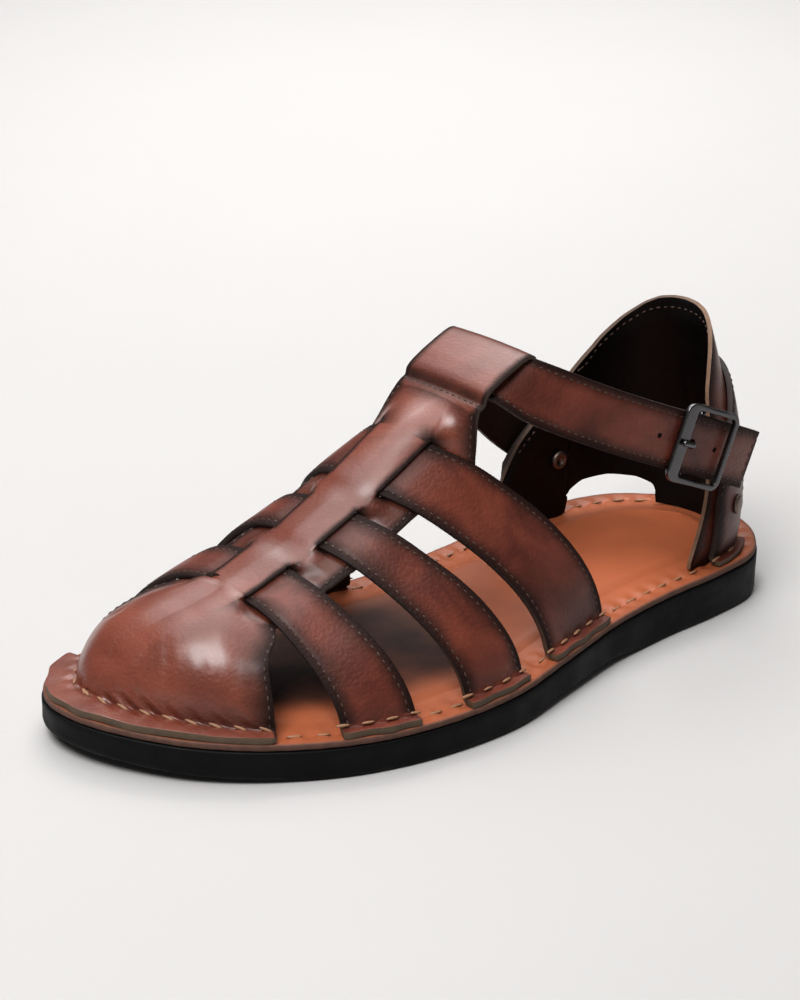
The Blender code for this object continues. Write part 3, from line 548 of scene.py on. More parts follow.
def edge_distance(grid, keep, closed_front=False):
    """Distance in millimetres to the nearest free edge of a grid's kept cells; a closed front row is none."""
    rows, cols = grid.shape[:2]
    around = np.zeros((rows, cols), int)
    for di in (0, 1):
        for dj in (0, 1):
            around[di:rows - 1 + di, dj:cols - 1 + dj] += keep
    if closed_front:
        around[0] *= 2
    rim = grid[(around > 0) & (around < 4)]
    tree = KDTree(len(rim))
    for k, p in enumerate(rim):
        tree.insert(p, k)
    tree.balance()
    found = np.zeros(rows * cols)
    for k in np.flatnonzero(around):
        found[k] = tree.find(grid.reshape(-1, 3)[k])[2]
    return found.reshape(rows, cols)


def press(outer, normals, path, depth, width):
    """Press a soft trough with a low ridge beside it along a path of points."""
    gap = np.linalg.norm(outer[:, :, None] - path[None, None], axis=-1)
    near = gap.min(-1)
    fade = np.sin(math.pi * np.clip(gap.argmin(-1) / (len(path) - 1), 0.04, 0.96))
    shape = 0.25 * hump(near - 1.9 * width, width) - hump(near, width)
    return outer + normals * (depth * fade * shape)[..., None]


def sew(thread, points, normals, at=slice(None), slant=0.0, lift=0.0):
    """Note a line of stitches at chosen points, lifted off them and turned from the line by slant degrees."""
    line, out = points[at], normals[at]
    slants = np.full(len(line), math.radians(slant))
    threads[thread].append((place(line + lift * out), place_direction(out), slants))


def new_object(name, mesh):
    """Object for a finished mesh, linked to the scene."""
    thing = bpy.data.objects.new(name, mesh)
    bpy.context.scene.collection.objects.link(thing)
    return thing


def plain(thing):
    """Turn an object's modifiers into a plain smooth mesh."""
    graph = bpy.context.evaluated_depsgraph_get()
    made = bpy.data.meshes.new_from_object(thing.evaluated_get(graph))
    thing.modifiers.clear()
    old = thing.data
    thing.data = made
    made.name = thing.name
    bpy.data.meshes.remove(old)
    made.shade_smooth()
    return thing


def wear(thing, node):
    """Let a finished piece ride on the shoe and stand for its solid."""
    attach(thing, "root")
    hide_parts(node)


def made_object(name, bm, skins, weld, solid=False):
    """Object from a bmesh, its doubled points welded; a solid's faces are turned outward."""
    bmesh.ops.remove_doubles(bm, verts=bm.verts, dist=weld)
    bmesh.ops.dissolve_degenerate(bm, dist=1e-6, edges=bm.edges)
    if solid:
        bmesh.ops.recalc_face_normals(bm, faces=bm.faces)
    mesh = bpy.data.meshes.new(name)
    bm.to_mesh(mesh)
    bm.free()
    mesh.shade_smooth()
    for skin in skins:
        mesh.materials.append(skin)
    return new_object(name, mesh)


def panel(name, outer, normals, keep, thick, marks, skins, rounding):
    """Leather panel: the kept cells of an outer grid, given thickness inward and rounded edges."""
    rows, cols = outer.shape[:2]
    spots = place(outer.reshape(-1, 3))
    grid = spots.reshape(rows, cols, 3)
    diagonals = np.cross(grid[1:, 1:] - grid[:-1, :-1], grid[:-1, 1:] - grid[1:, :-1])
    flip = float((diagonals * place_direction(normals)[:-1, :-1] * keep[..., None]).sum()) > 0
    values = {key: np.broadcast_to(value, (rows, cols)).ravel() for key, value in marks.items()}
    thick = np.broadcast_to(thick, (rows, cols)).ravel()
    bm = bmesh.new()
    layers = {key: bm.verts.layers.float.new(key) for key in marks}
    weight = bm.verts.layers.deform.verify()
    verts = {}

    def vert(k):
        if k not in verts:
            verts[k] = bm.verts.new(spots[k])
            for key, layer in layers.items():
                verts[k][layer] = values[key][k]
            verts[k][weight][0] = thick[k] / thick.max()
        return verts[k]

    for i, j in np.argwhere(keep):
        a = i * cols + j
        corners = [vert(k) for k in (a, a + 1, a + cols + 1, a + cols)]
        bm.faces.new(corners[::-1] if flip else corners)
    thing = made_object(name, bm, skins, 3e-6)
    thing.vertex_groups.new(name="thickness")
    body = thing.modifiers.new("thickness", "SOLIDIFY")
    body.thickness = thick.max() * MM
    body.vertex_group = "thickness"
    body.offset = -1.0
    body.use_quality_normals = True
    body.material_offset = 1
    body.material_offset_rim = 2
    edges = thing.modifiers.new("rounding", "BEVEL")
    edges.width = rounding * MM
    edges.segments = 2
    edges.limit_method = "ANGLE"
    edges.angle_limit = math.radians(EDGE_ANGLE)
    return plain(thing)


def loft(name, rings, skins, marks=None, closed=False):
    """Closed solid through rings of points, with its ends capped or joined."""
    rings = np.asarray(rings, float)
    rows, around = rings.shape[:2]
    bm = bmesh.new()
    layers = {key: bm.verts.layers.float.new(key) for key in (marks or {})}
    verts = [bm.verts.new(p) for p in place(rings.reshape(-1, 3))]
    for key, layer in layers.items():
        for v, value in zip(verts, np.broadcast_to(marks[key], (rows, around)).ravel()):
            v[layer] = value
    for i in range(rows if closed else rows - 1):
        for j in range(around):
            k = (j + 1) % around
            low, high = i * around, ((i + 1) % rows) * around
            bm.faces.new((verts[low + j], verts[low + k], verts[high + k], verts[high + j]))
    if not closed:
        bm.faces.new(verts[:around][::-1])
        bm.faces.new(verts[-around:])
    return made_object(name, bm, skins, 2e-6, solid=True)


def ridge_point(s):
    """Point of the last's ridge at a length from the heel."""
    return np.array([smooth(s, RIDGE["s"], RIDGE["x"]), s, smooth(s, RIDGE["s"], RIDGE["z"])])


def feather(angle):
    """Distance from the sole's edge to the foot of the upper's wall, wider round the toe."""
    span = [float(sweep_angle(s)) for s in FEATHER_SPAN]
    return FEATHER + (FEATHER_TOE - FEATHER) * ease(angle, span)


def half_line(ridge_s, base_s, side, roundness, arch):
    """Line from the ridge down one side of the last and out along the tab, with its lengths and its foot."""
    top = ridge_point(ridge_s)
    angle = float(sweep_angle(base_s))
    foot = float(feather(angle))
    base = edge(np.array([angle]), side, foot)[0]
    floor = seat(base[1])
    w = np.linspace(0.0, 1.0, 161) * math.pi / 2
    out = np.sin(w) ** (2 / roundness)
    up = np.clip(np.cos(w), 0.0, 1.0) ** (2 / roundness)
    rise = arch * np.sin(math.pi * np.sqrt(w / w[-1])) ** 2
    wall = np.stack([top[0] + (base[0] - top[0]) * out, top[1] + (base[1] - top[1]) * out ** SWEEP[side],
                     floor + (top[2] - floor) * up + rise], -1)
    flat = edge(np.full(12, angle), side, np.linspace(foot, TAB_END, 13)[1:])
    raw = np.concatenate([wall, np.column_stack([flat, seat(flat[:, 1])])])
    run = lengths(raw)
    steps = max(16, int(run[-1] / LINE_STEP))
    fine = at_lengths(raw, run, np.linspace(0.0, run[-1], steps + 1))
    fine = soften(fine, BEND_SOFT * steps / run[-1])
    new_run = lengths(fine)
    return fine, new_run, run[len(wall) - 1] / run[-1] * new_run[-1]


def edge_sizes(v):
    """Ridge, lateral, medial, arch and wing at a place in the edges' table, between its rows too."""
    rows = np.arange(LAST_EDGE + 1)
    keys = ("ridge", "lateral", "medial", "arch", "wing")
    return np.array([np.interp(v, rows, EDGES[key]) for key in keys])


def toward_toe(s, share):
    """A length from the heel moved toward the toe by a share of the outline's sweep."""
    angle = sweep_angle(s)
    return LENGTH / 2 * (1.0 - math.cos(angle + (math.pi - angle) * share))


BRIDGE_COLS, WING_COLS, SIDE_COLS, FLANGE_COLS = 12, 15, 38, 16
SLIT_AT = BRIDGE_COLS - 1
WING_AT = BRIDGE_COLS + WING_COLS - 1
FOOT_AT = WING_AT + SIDE_COLS
SPINE_HALF = FOOT_AT + FLANGE_COLS


def near_columns(wing):
    """Distances from the ridge of the columns of bridge and wing."""
    bridge = np.linspace(0.0, SLIT, BRIDGE_COLS)
    return np.concatenate([bridge, np.linspace(SLIT + SLIT_OPEN, wing, WING_COLS)])


def spine_half(ridge_s, base_s, side, roundness, arch, wing):
    """The spine's columns down one side, from bridge to flange: points and distances from the ridge."""
    line, run, foot = half_line(ridge_s, base_s, side, roundness, arch)
    near = near_columns(wing) * min(1.0, foot / (2 * (wing + DRAPE)))
    wall = np.linspace(near[-1], foot, SIDE_COLS + 1)[1:]
    flange = np.linspace(foot, run[-1], FLANGE_COLS + 1)[1:]
    at = np.concatenate([near, wall, flange])
    return at_lengths(line, run, at), at


def spine_row(sizes, roundness):
    """One row of the spine from its lateral end over the ridge to its medial end, with signed distances."""
    ridge_s, lateral_s, medial_s, arch, wing = sizes
    lateral, out = spine_half(ridge_s, lateral_s, "lateral", roundness["lateral"], 0.0, wing)
    medial, away = spine_half(ridge_s, medial_s, "medial", roundness["medial"], arch, wing)
    return np.concatenate([lateral[::-1], medial[1:]]), np.concatenate([out[::-1], -away[1:]])


def loop_row(s, out):
    """Straight row across the instep loop, raised square to the ridge; its lower ply is narrower."""
    near = near_columns(LOOP_COLUMNS_WIDE)
    half = LOOP_HALF - LOOP_TUCK * float(ease(-out, LOOP_TUCK_SPAN))
    near = np.concatenate([near * half / near[-1], np.full(SIDE_COLS + FLANGE_COLS, half)])
    top = ridge_point(s)
    ahead = unit(ridge_point(LOOP_FRONT) - ridge_point(LOOP_PATH["s"].min()))
    square = np.array([0.0, -ahead[2], ahead[1]])
    bow = LOOP_BOW * (near / LOOP_HALF) ** 2
    lateral = np.stack([top[0] + near, np.full(len(near), top[1]), top[2] - bow], -1) + out * square
    medial = lateral * (-1, 1, 1) + (2 * top[0], 0, 0)
    return np.concatenate([lateral[::-1], medial[1:]]), np.concatenate([near[::-1], -near[1:]])


def strap_gap(s):
    """Distance along the ridge from the nearest cross strap, 0 where one lies under the bridge."""
    gaps = []
    for number in (1, 2, 3):
        front, rear = edge_sizes(2 * number - 1)[0], edge_sizes(2 * number)[0]
        gaps.append(np.maximum(np.maximum(s - front, rear - s), 0.0))
    return np.minimum.reduce(gaps)


def bridge_lift(s):
    """Share of the bridge's rise: full on a strap, less between straps, easing off past the outer ones."""
    gap = strap_gap(s)
    between = (s < edge_sizes(1)[0]) & (s > edge_sizes(6)[0])
    return np.where(between, 1.0 - BRIDGE_DIP * ease(gap, (0.4, 5.8)), 1.0 - ease(gap, (0.4, BRIDGE_RUN)))


def cap_fillet(away, wing):
    """How far the cap's rear edge runs back toward the first strap at each column, most beside the wing."""
    past = np.abs(away) - wing
    share = np.where(away > 0, CAP_FILLET["lateral"], CAP_FILLET["medial"])
    return share * hump(past, np.where(past > 0.0, 7.0, 4.5))


def cap_rows():
    """Rows of the toe cap from its tip to its rear edge, with their distances and places along the ridge."""
    cap_s, lateral, medial, arch, wing = edge_sizes(0)
    tip = LENGTH - FEATHER_TOE
    behind = spine_row(edge_sizes(1), STRAP_ROUND)[0]
    rows = []
    for k in range(CAP_ROWS, 0, -1):
        t = k / CAP_ROWS
        s = cap_s + (tip - cap_s) * math.sin(math.pi / 2 * t)
        sizes = (s, toward_toe(lateral, t), toward_toe(medial, t), arch * (1.0 - t), wing)
        row, away = spine_row(sizes, CAP_ROUND)
        share = cap_fillet(away, wing) * max(0.0, 1.0 - t / CAP_FILLET_SPAN)
        rows.append((row + (behind - row) * share[:, None], away, s))
    return rows


def woven_rows():
    """Rows of bridge and wings from the cap's rear edge to the last strap's."""
    cap, cap_away = spine_row(edge_sizes(0), CAP_ROUND)
    behind, behind_away = spine_row(edge_sizes(1), STRAP_ROUND)
    fillet = cap_fillet(cap_away, edge_sizes(0)[4])
    rows = []
    for v in range(LAST_EDGE):
        steps = max(4, int(abs(edge_sizes(v)[0] - edge_sizes(v + 1)[0]) / WOVEN_STEP))
        for k in range(steps):
            sizes = edge_sizes(v + k / steps)
            if v == 0:
                share = fillet + (1.0 - fillet) * k / steps
                row = cap + (behind - cap) * share[:, None]
                away = cap_away + (behind_away - cap_away) * share
            else:
                row, away = spine_row(sizes, STRAP_ROUND)
            rows.append((row, away, sizes[0]))
    return rows


def vamp_rows():
    """Rows from the last strap's rear edge to the front of the instep loop."""
    last, last_away = spine_row(edge_sizes(LAST_EDGE), STRAP_ROUND)
    first, first_away = loop_row(LOOP_FRONT, 0.0)
    rows = []
    for share in np.linspace(0.0, 1.0, VAMP_ROWS + 1)[:-1]:
        s = edge_sizes(LAST_EDGE)[0] * (1 - share) + LOOP_FRONT * share
        rows.append((last + (first - last) * share, last_away + (first_away - last_away) * share, s))
    return rows


def loop_rows():
    """Rows of the instep loop, over its top, round its rear fold and forward again underneath."""
    path = np.column_stack([LOOP_PATH["s"], LOOP_PATH["out"]])
    run = lengths(path)
    path = soften(at_lengths(path, run, np.linspace(0.0, run[-1], LOOP_ROWS)), LOOP_SOFT)
    return [(*loop_row(s, out), s) for s, out in path]


def spine_grid():
    """Base grid of the spine with its distances, its kept cells and the rows at which its parts begin."""
    parts = [cap_rows(), woven_rows(), vamp_rows(), loop_rows()]
    grid = SimpleNamespace()
    grid.cap_end, grid.vamp_at, grid.loop_at, count = np.cumsum([len(part) for part in parts]).tolist()
    grid.base, grid.away, grid.ridge = (np.array(values) for values in zip(*sum(parts, [])))
    grid.order = np.arange(count)[:, None]
    grid.from_ridge = np.abs(np.arange(2 * SPINE_HALF + 1) - SPINE_HALF)[None]
    cell = np.minimum(grid.from_ridge[:, :-1], grid.from_ridge[:, 1:])
    grid.keep = (cell < WING_AT) | (grid.order[:-1] < grid.cap_end)
    grid.flange = np.clip((grid.from_ridge - FOOT_AT + 2) / 6.0, 0.0, 1.0) * (grid.order < grid.cap_end)
    return grid


def raise_spine(grid):
    """Outer surface ahead of the loop, with normals: the bridge raised over the straps, the wings dipped."""
    base, s = grid.base[:grid.loop_at], grid.ridge[:grid.loop_at, None]
    normals = normals_of(base, grid.keep[:grid.loop_at - 1])
    normals[:grid.cap_end] = slow_normals(base[:grid.cap_end], normals[:grid.cap_end], BEND_TURN)
    d = np.abs(grid.away[:grid.loop_at])
    gap = strap_gap(s)
    lift = soften(bridge_lift(s), BRIDGE_SOFT)
    crown = STRAP_CROWN * np.maximum(1.0 - (d / SLIT) ** 2, 0.0)
    spread = hump(np.maximum(d - SLIT, 0.0), SLIT_FILLET + SLIT_SPREAD * gap)
    beside = BRIDGE_LIFT * lift * spread * ease(gap, (0.0, 2.2)) - WING_DIP * (1.0 - ease(gap, (0.0, 1.2)))
    rise = np.where(grid.from_ridge <= SLIT_AT, (BRIDGE_LIFT + crown) * lift, beside)
    rise = rise + TAB_LIFT * grid.flange[:grid.loop_at]
    uneven = wobble(base, *CAP_WOBBLE) * (1 - hump(d, RIDGE_PINCH))
    return base + normals * (WALL + rise + uneven)[..., None], normals


def pleat_cap(grid, outer, normals, sizes):
    """Pull pleats into the cap's foot at the welt stitches, and cut its flange unevenly."""
    cap = slice(0, grid.cap_end)
    for hand, side in ((-1, slice(0, SPINE_HALF)), (1, slice(SPINE_HALF, None))):
        base, d = grid.base[cap, side], np.abs(grid.away[cap, side])
        foot = SPINE_HALF + hand * FOOT_AT
        around = lengths(grid.base[cap, foot])[:, None]
        past_foot = d - np.abs(grid.away[cap, foot])[:, None]
        slant = hand * PLEAT_SLANT * past_foot * ease(around, PLEAT_SLANT_SPAN)
        wave = 0.5 + 0.5 * np.cos(2 * math.pi * (around + slant) / sizes.welt_pitch)
        on_wall = hump(past_foot + 0.8, np.where(past_foot < -0.8, 4.4, 1.5))
        on_flange = 0.4 * hump(past_foot - 3.0, 2.2)
        height = PLEAT_RISE * sizes.pucker * (1.0 + wobble(base, *PLEAT_WOBBLE)) * ease(d, PLEAT_SPAN)
        pleat = height * (wave ** 0.7 - 0.6) * np.maximum(on_wall, on_flange)
        end = 2 * SPINE_HALF if hand > 0 else 0
        outward = unit(grid.base[cap, end] - grid.base[cap, end - 4 * hand])[:, None]
        ragged = wobble(base * (1, 1, 0), *FLANGE_RAGGED) * ease(past_foot, (2.0, 7.0))
        outer[cap, side] += normals[cap, side] * pleat[..., None] + outward * ragged[..., None]


def crease_cap(grid, outer):
    """Press the listed creases into the cap."""
    cap = slice(0, grid.cap_end + 8)
    spots = outer[cap].reshape(-1, 3)
    normals = normals_of(outer, grid.keep)
    share = np.linspace(0.0, 1.0, 26)[:, None]
    for x, s, x_end, s_end, depth, width in CAP_CREASES:
        line = np.array([x, s]) + (np.array([x_end, s_end]) - (x, s)) * share
        line[:, 0] += 0.9 * np.sin(5.0 * share[:, 0] + x)
        path = spots[[int(np.argmin(((spots[:, :2] - p) ** 2).sum(1))) for p in line]]
        outer[cap] = press(outer[cap], normals[cap], path, depth, width)


def cut_slits(grid):
    """Open the slits beside the bridge wherever a strap passes under it."""
    whole = (strap_gap(grid.ridge[:-1]) > 0.0) | (strap_gap(grid.ridge[1:]) > 0.0)
    for j in (SPINE_HALF - SLIT_AT - 1, SPINE_HALF + SLIT_AT):
        grid.keep[:, j] &= whole


def spine_marks(grid, outer):
    """Distance to edges, darker marks and raw leather over the spine."""
    order, s = grid.order, grid.ridge[:, None]
    rim = edge_distance(outer, grid.keep, closed_front=True)
    scale = np.select([order < grid.cap_end, order < grid.vamp_at, order < grid.loop_at],
                      [RIM_SCALE["cap"], 1.0, RIM_SCALE["vamp"]], RIM_SCALE["loop"])
    on_bridge = (grid.from_ridge <= SLIT_AT) & (order < grid.vamp_at)
    rim = rim * scale * np.where(on_bridge, RIM_SCALE["bridge"], 1.0)
    past_slit = np.abs(grid.away) - SLIT
    slit = hump(past_slit, np.where(past_slit > 0.0, 3.2, 1.3)) * hump(strap_gap(s), 4.0)
    slit[:grid.cap_end // 2] = 0.0
    wing = ease(past_slit, (0.5, 5.0)) * ((order >= grid.cap_end) & (order < grid.vamp_at))
    seam = hump(s - LOOP_SEAM, 2.8) * (order >= grid.vamp_at)
    rear_fold = hump(s - LOOP_PATH["s"].min(), 3.6) * (order >= grid.loop_at)
    foot = hump(grid.from_ridge - FOOT_AT, 3.0) * (order < grid.cap_end)
    dark = {"slit": slit, "wing": wing, "seam": seam, "rear fold": rear_fold, "foot": foot}
    burnish = sum(share * dark[key] for key, share in SPINE_DARKENING.items())
    return {"edge": np.maximum(rim, RAW_RIM * grid.flange), "burnish": np.clip(burnish, 0.0, 1.0),
            "raw": np.maximum(grid.flange, 0.4 * (order >= grid.cap_end))}


def build_spine(sizes, skins):
    """Toe cap, bridge, wings, vamp and instep loop, cut from one piece of leather."""
    grid = spine_grid()
    outer, normals = raise_spine(grid)
    pleat_cap(grid, outer, normals, sizes)
    outer = np.concatenate([outer, grid.base[grid.loop_at:]])
    crease_cap(grid, outer)
    normals = normals_of(outer, grid.keep)
    cut_slits(grid)
    thick = sizes.spine_thick + (sizes.flange_thick - sizes.spine_thick) * grid.flange
    marks = spine_marks(grid, outer)
    sew_spine(grid, outer, normals)
    return panel("toe_cap_and_spine", outer, normals, grid.keep, thick, marks, skins, sizes.rounding)


def sew_spine(grid, outer, normals):
    """Stitch lines of the spine: cap's rear edges, wings, vamp border, flange and loop seam."""
    order = grid.order[:, 0]
    between = (strap_gap(grid.ridge) > 0.3) & (order > grid.cap_end) & (order < grid.vamp_at)
    for hand in (-1, 1):
        wing = SPINE_HALF + hand * (WING_AT - 2)
        for rows in stretches(between, 4):
            sew("brown", outer, normals, np.s_[rows, wing])
        sew("brown", outer, normals, np.s_[grid.vamp_at + 1:grid.loop_at - 1, wing])
        cap_rear = SPINE_HALF + hand * np.arange(WING_AT + 1, FOOT_AT - 1)
        sew("brown", outer, normals, np.s_[grid.cap_end - 1, cap_rear])
        fold = SPINE_HALF + hand * (FOOT_AT + 1)
        sew("tan", outer, normals, np.s_[1:grid.cap_end - 1, fold], STITCH_SLANT, TAN_LIFT)
    seam = grid.loop_at + int(np.argmin(np.abs(grid.ridge[grid.loop_at:grid.loop_at + 8] - LOOP_STITCH)))
    sew("brown", outer, normals, np.s_[seam, SPINE_HALF - WING_AT + 2:SPINE_HALF + WING_AT - 1])


BORDER = (0.0, 0.4, 0.9, 1.4, 1.9, 2.4, 2.9, 3.6)
STITCH_INSET = 2.4
STITCH_ROW = BORDER.index(STITCH_INSET)


def border_rows(width):
    """Distances across a strap of that width: close together along both edges, even between them."""
    half = np.concatenate([BORDER, np.linspace(4.4, width / 2, 8)])
    return np.concatenate([half, width - half[::-1][1:]])


STRAP_NEAR, STRAP_DRAPE, STRAP_WALL, STRAP_TAB = 26, 9, 56, 16
TAB_AT = STRAP_NEAR + STRAP_DRAPE + STRAP_WALL
STRAP_HALF = TAB_AT + STRAP_TAB


def strap_half(sizes, side):
    """Points and distances from the ridge along one half of a cross strap, down to its tab's end."""
    ridge_s, lateral_s, medial_s, arch, wing = sizes
    base_s, rise = (lateral_s, 0.0) if side == "lateral" else (medial_s, arch)
    line, run, foot = half_line(ridge_s, base_s, side, STRAP_ROUND[side], rise)
    drape = wing + DRAPE + 1.0
    stops = (0.0, wing, drape, foot, run[-1])
    counts = (STRAP_NEAR, STRAP_DRAPE, STRAP_WALL, STRAP_TAB)
    spans = [np.linspace(a, b, n + 1)[1:] for a, b, n in zip(stops, stops[1:], counts)]
    at = np.concatenate([[0.0], *spans])
    return at_lengths(line, run, at), at


def strap_grid(number):
    """Grid of a cross strap: points, distance from the ridge, from the front edge, share of the width."""
    front, rear = edge_sizes(2 * number - 1), edge_sizes(2 * number)
    rows, away = [], []
    for share in np.linspace(0.0, 1.0, 25):
        sizes = front + (rear - front) * share
        lateral, out = strap_half(sizes, "lateral")
        medial, far = strap_half(sizes, "medial")
        rows.append(np.concatenate([lateral[::-1], medial[1:]]))
        away.append(np.concatenate([out[::-1], -far[1:]]))
    spaced = []
    for line, far in zip(np.stack(rows, 1), np.stack(away, 1)):
        run = lengths(line)
        at = border_rows(run[-1])
        spaced.append(np.column_stack([at_lengths(line, run, at), np.interp(at, run, far), at, at / run[-1]]))
    spaced = np.stack(spaced, 1)
    return spaced[..., :3], spaced[..., 3], spaced[..., 4], spaced[..., 5]


def stitch_groove(from_edge, sizes):
    """Depth of the groove that a row of stitches pulls along an edge."""
    return sizes.stitch_groove * hump(from_edge - STITCH_INSET, 0.55)


def build_cross_strap(number, sizes, skins):
    """A cross strap from tab to tab, over the wings and under the bridge."""
    base, away, across, share = strap_grid(number)
    from_edge = np.minimum(across, across[-1:] - across)
    count, cols = base.shape[:2]
    keep = np.ones((count - 1, cols - 1), bool)
    normals = slow_normals(base, normals_of(base, keep), BEND_TURN)
    step = np.abs(np.arange(cols) - STRAP_HALF)[None]
    d = np.abs(away)
    front, rear = edge_sizes(2 * number - 1)[4], edge_sizes(2 * number)[4]
    past_wing = d - (front + (rear - front) * share)
    free = ease(d, (SLIT, SLIT + 7.0))
    tab = ease(step, (TAB_AT - 3, TAB_AT + 3))
    crown = STRAP_CROWN * (1.0 - (2.0 * share - 1.0) ** 4) * free
    around = lengths(base[:, STRAP_HALF - TAB_AT])[:, None]
    wave = 1.0 + np.cos(2 * math.pi * around / sizes.welt_pitch)
    dimple = TAB_DIMPLE * sizes.pucker * hump(step - TAB_AT - 1, 2.6) * wave
    sink = BRIDGE_SINK * (1.0 - ease(d, (SLIT - 4.5, SLIT - 0.5)))
    rise = WALL + STRAP_LIFT * (1.0 - ease(past_wing, STRAP_SETTLE)) - sink + dimple + TAB_LIFT * tab
    rise = rise + (crown - stitch_groove(from_edge, sizes)) * (1 - tab) + wobble(base, *STRAP_WOBBLE) * free
    outer = base + normals * rise[..., None]
    cut = wobble(base * (1.0, 1.0, 0.0), *TAB_RAGGED) * ease(step, (TAB_AT + 6, STRAP_HALF))
    for hand, end, inner in ((1, 0, 8), (-1, cols - 1, cols - 9)):
        outward = unit(base[:, end, None, :2] - base[:, inner, None, :2])
        outer[..., :2] += outward * np.where(hand * away > 0, cut, 0.0)[..., None]
    normals = normals_of(outer, keep)
    # Burnish and painted shade on the strap where it comes out from under the bridge at the slits; burnish
    # toward the tabs.
    burnish = 0.3 * hump(np.maximum(d - SLIT, 0.0), 5.5) + 0.15 * hump(step - TAB_AT + 2, 7.0)
    worn = 0.55 * ease(step, (TAB_AT - 20, TAB_AT - 4))
    marks = {"edge": from_edge + 6.0 * tab, "burnish": np.clip(burnish, 0.0, 1.0),
             "raw": np.maximum(tab, worn)}
    thick = sizes.strap_thick + (sizes.flange_thick - sizes.strap_thick) * tab
    thick = thick - STRAP_SKIVE * (1.0 - ease(past_wing, STRAP_SKIVE_SPAN))
    for row in (STITCH_ROW, count - 1 - STITCH_ROW):
        for hand in (-1, 1):
            sew("brown", outer, normals, np.s_[row, STRAP_HALF + hand * np.arange(11, TAB_AT - 1)])
    for hand in (-1, 1):
        sew("tan", outer, normals, np.s_[1:-1, STRAP_HALF + hand * (TAB_AT + 1)], lift=TAN_LIFT)
    return panel("cross_strap_%d" % number, outer, normals, keep, thick, marks, skins, sizes.rounding)


def heel_point(turn, z, out):
    """Point of the heel's wall at a turn from the back, positive to the lateral side, moved outward."""
    half, back = (smooth(z, HEEL["z"], HEEL[key]) for key in ("half", "back"))
    round_turn = np.radians(np.clip(np.abs(turn), 0.0, 90.0))
    forward = HEEL_FORWARD * np.maximum(np.abs(turn) - 90.0, 0.0)
    x = np.sign(turn) * ((half + out) * np.sin(round_turn) + HEEL_FLARE * forward)
    s = HEEL_CENTRE - (HEEL_CENTRE - back + out) * np.cos(round_turn) + forward
    return np.stack([x, s, z], -1)


def away_from_heel(grid, normals):
    """Normals turned to point away from the heel's middle."""
    away = (grid - (0.0, HEEL_CENTRE, 0.0)) * (1, 1, 0)
    return normals if float((normals * away).sum()) > 0 else -normals


def heel_edges(wall, near):
    """Turns round the heel with the wall's top and bottom there, and which of them stand on the rim."""
    turn = wall["turn"]
    fine = np.unique(np.concatenate([turn, np.arange(turn[0], turn[-1], 0.9)]))
    even = np.linspace(turn[0], turn[-1], int((turn[-1] - turn[0]) / 0.5))
    round_top = soften(np.interp(even, turn, wall["top"])[:, None], 4.0)[:, 0]
    given = np.interp(fine, turn, wall["bottom"])
    floor = seat(heel_point(fine, np.full(len(fine), HEEL_FOOT), near)[:, 1])
    on_foot = given < 0
    low = np.where(on_foot, floor, np.maximum(given, floor))
    for span in stretches(~on_foot, 9):
        low[span] = soften(low[span][:, None], len(span) / 40)[:, 0]
    return fine, np.interp(fine, even, round_top), low, on_foot


def build_heel_counter(sizes, skins):
    """Inner wall round the heel: brown outside, black lining inside, raw edge."""
    turn, top, low = heel_edges(COUNTER, 0.0)[:3]
    share = np.linspace(0.0, 1.0, COUNTER_ROWS)[:, None]
    z = low + (top - low) * share
    outer = heel_point(turn[None] + 0.0 * z, z, COUNTER_THICK)
    keep = np.ones((outer.shape[0] - 1, outer.shape[1] - 1), bool)
    normals = away_from_heel(outer, normals_of(outer, keep))
    fade = np.sin(math.pi * np.clip(share * 1.1, 0, 1)) ** 2
    folds = sum(COUNTER_FOLD * hump(turn[None] - at, 5.0) * fade for at in COUNTER_FOLDS)
    outer = outer - normals * folds[..., None]
    raw = 0.4 + 0.6 * ease(turn, COUNTER_RAW_SPAN)[None]
    marks = {"edge": edge_distance(outer, keep), "burnish": 0.0, "raw": raw}
    thick = COUNTER_THICK - COUNTER_SKIVE * (1.0 - ease(top - z, COUNTER_SKIVE_SPAN))
    inside = outer - normals * (thick[..., None] + 0.1)
    used = np.flatnonzero((turn > COUNTER_STITCHED[0]) & (turn < COUNTER_STITCHED[1]))
    rows = np.array([int(np.argmin(np.abs(top[k] - z[:, k] - COUNTER_STITCH))) for k in used])
    sew("brown", inside, -normals, np.s_[rows, used])
    return panel("heel_counter_leather", outer, normals, keep, thick, marks, skins, sizes.rounding)


def band_line(turn, low, top, near, on_foot):
    """Line of the heel band at a turn, in along its tab and up its wall; the bend on the rim is soft."""
    wall = heel_point(np.full(BAND_ROWS, turn), np.linspace(low, top, BAND_ROWS), near)
    reach = np.linspace(BAND_TAB, 0.0, BAND_TAB_ROWS + 1)[:-1]
    flat = heel_point(np.full(BAND_TAB_ROWS, turn), np.full(BAND_TAB_ROWS, low), near + reach)
    flat[:, 2] = seat(flat[:, 1]) if on_foot else low
    line = np.concatenate([flat, wall])
    if not on_foot:
        return line
    run = lengths(line)
    even = at_lengths(line, run, np.linspace(0.0, run[-1], 150))
    bent = soften(even, BEND_SOFT / (run[-1] / 149))
    return at_lengths(bent, lengths(even), run)


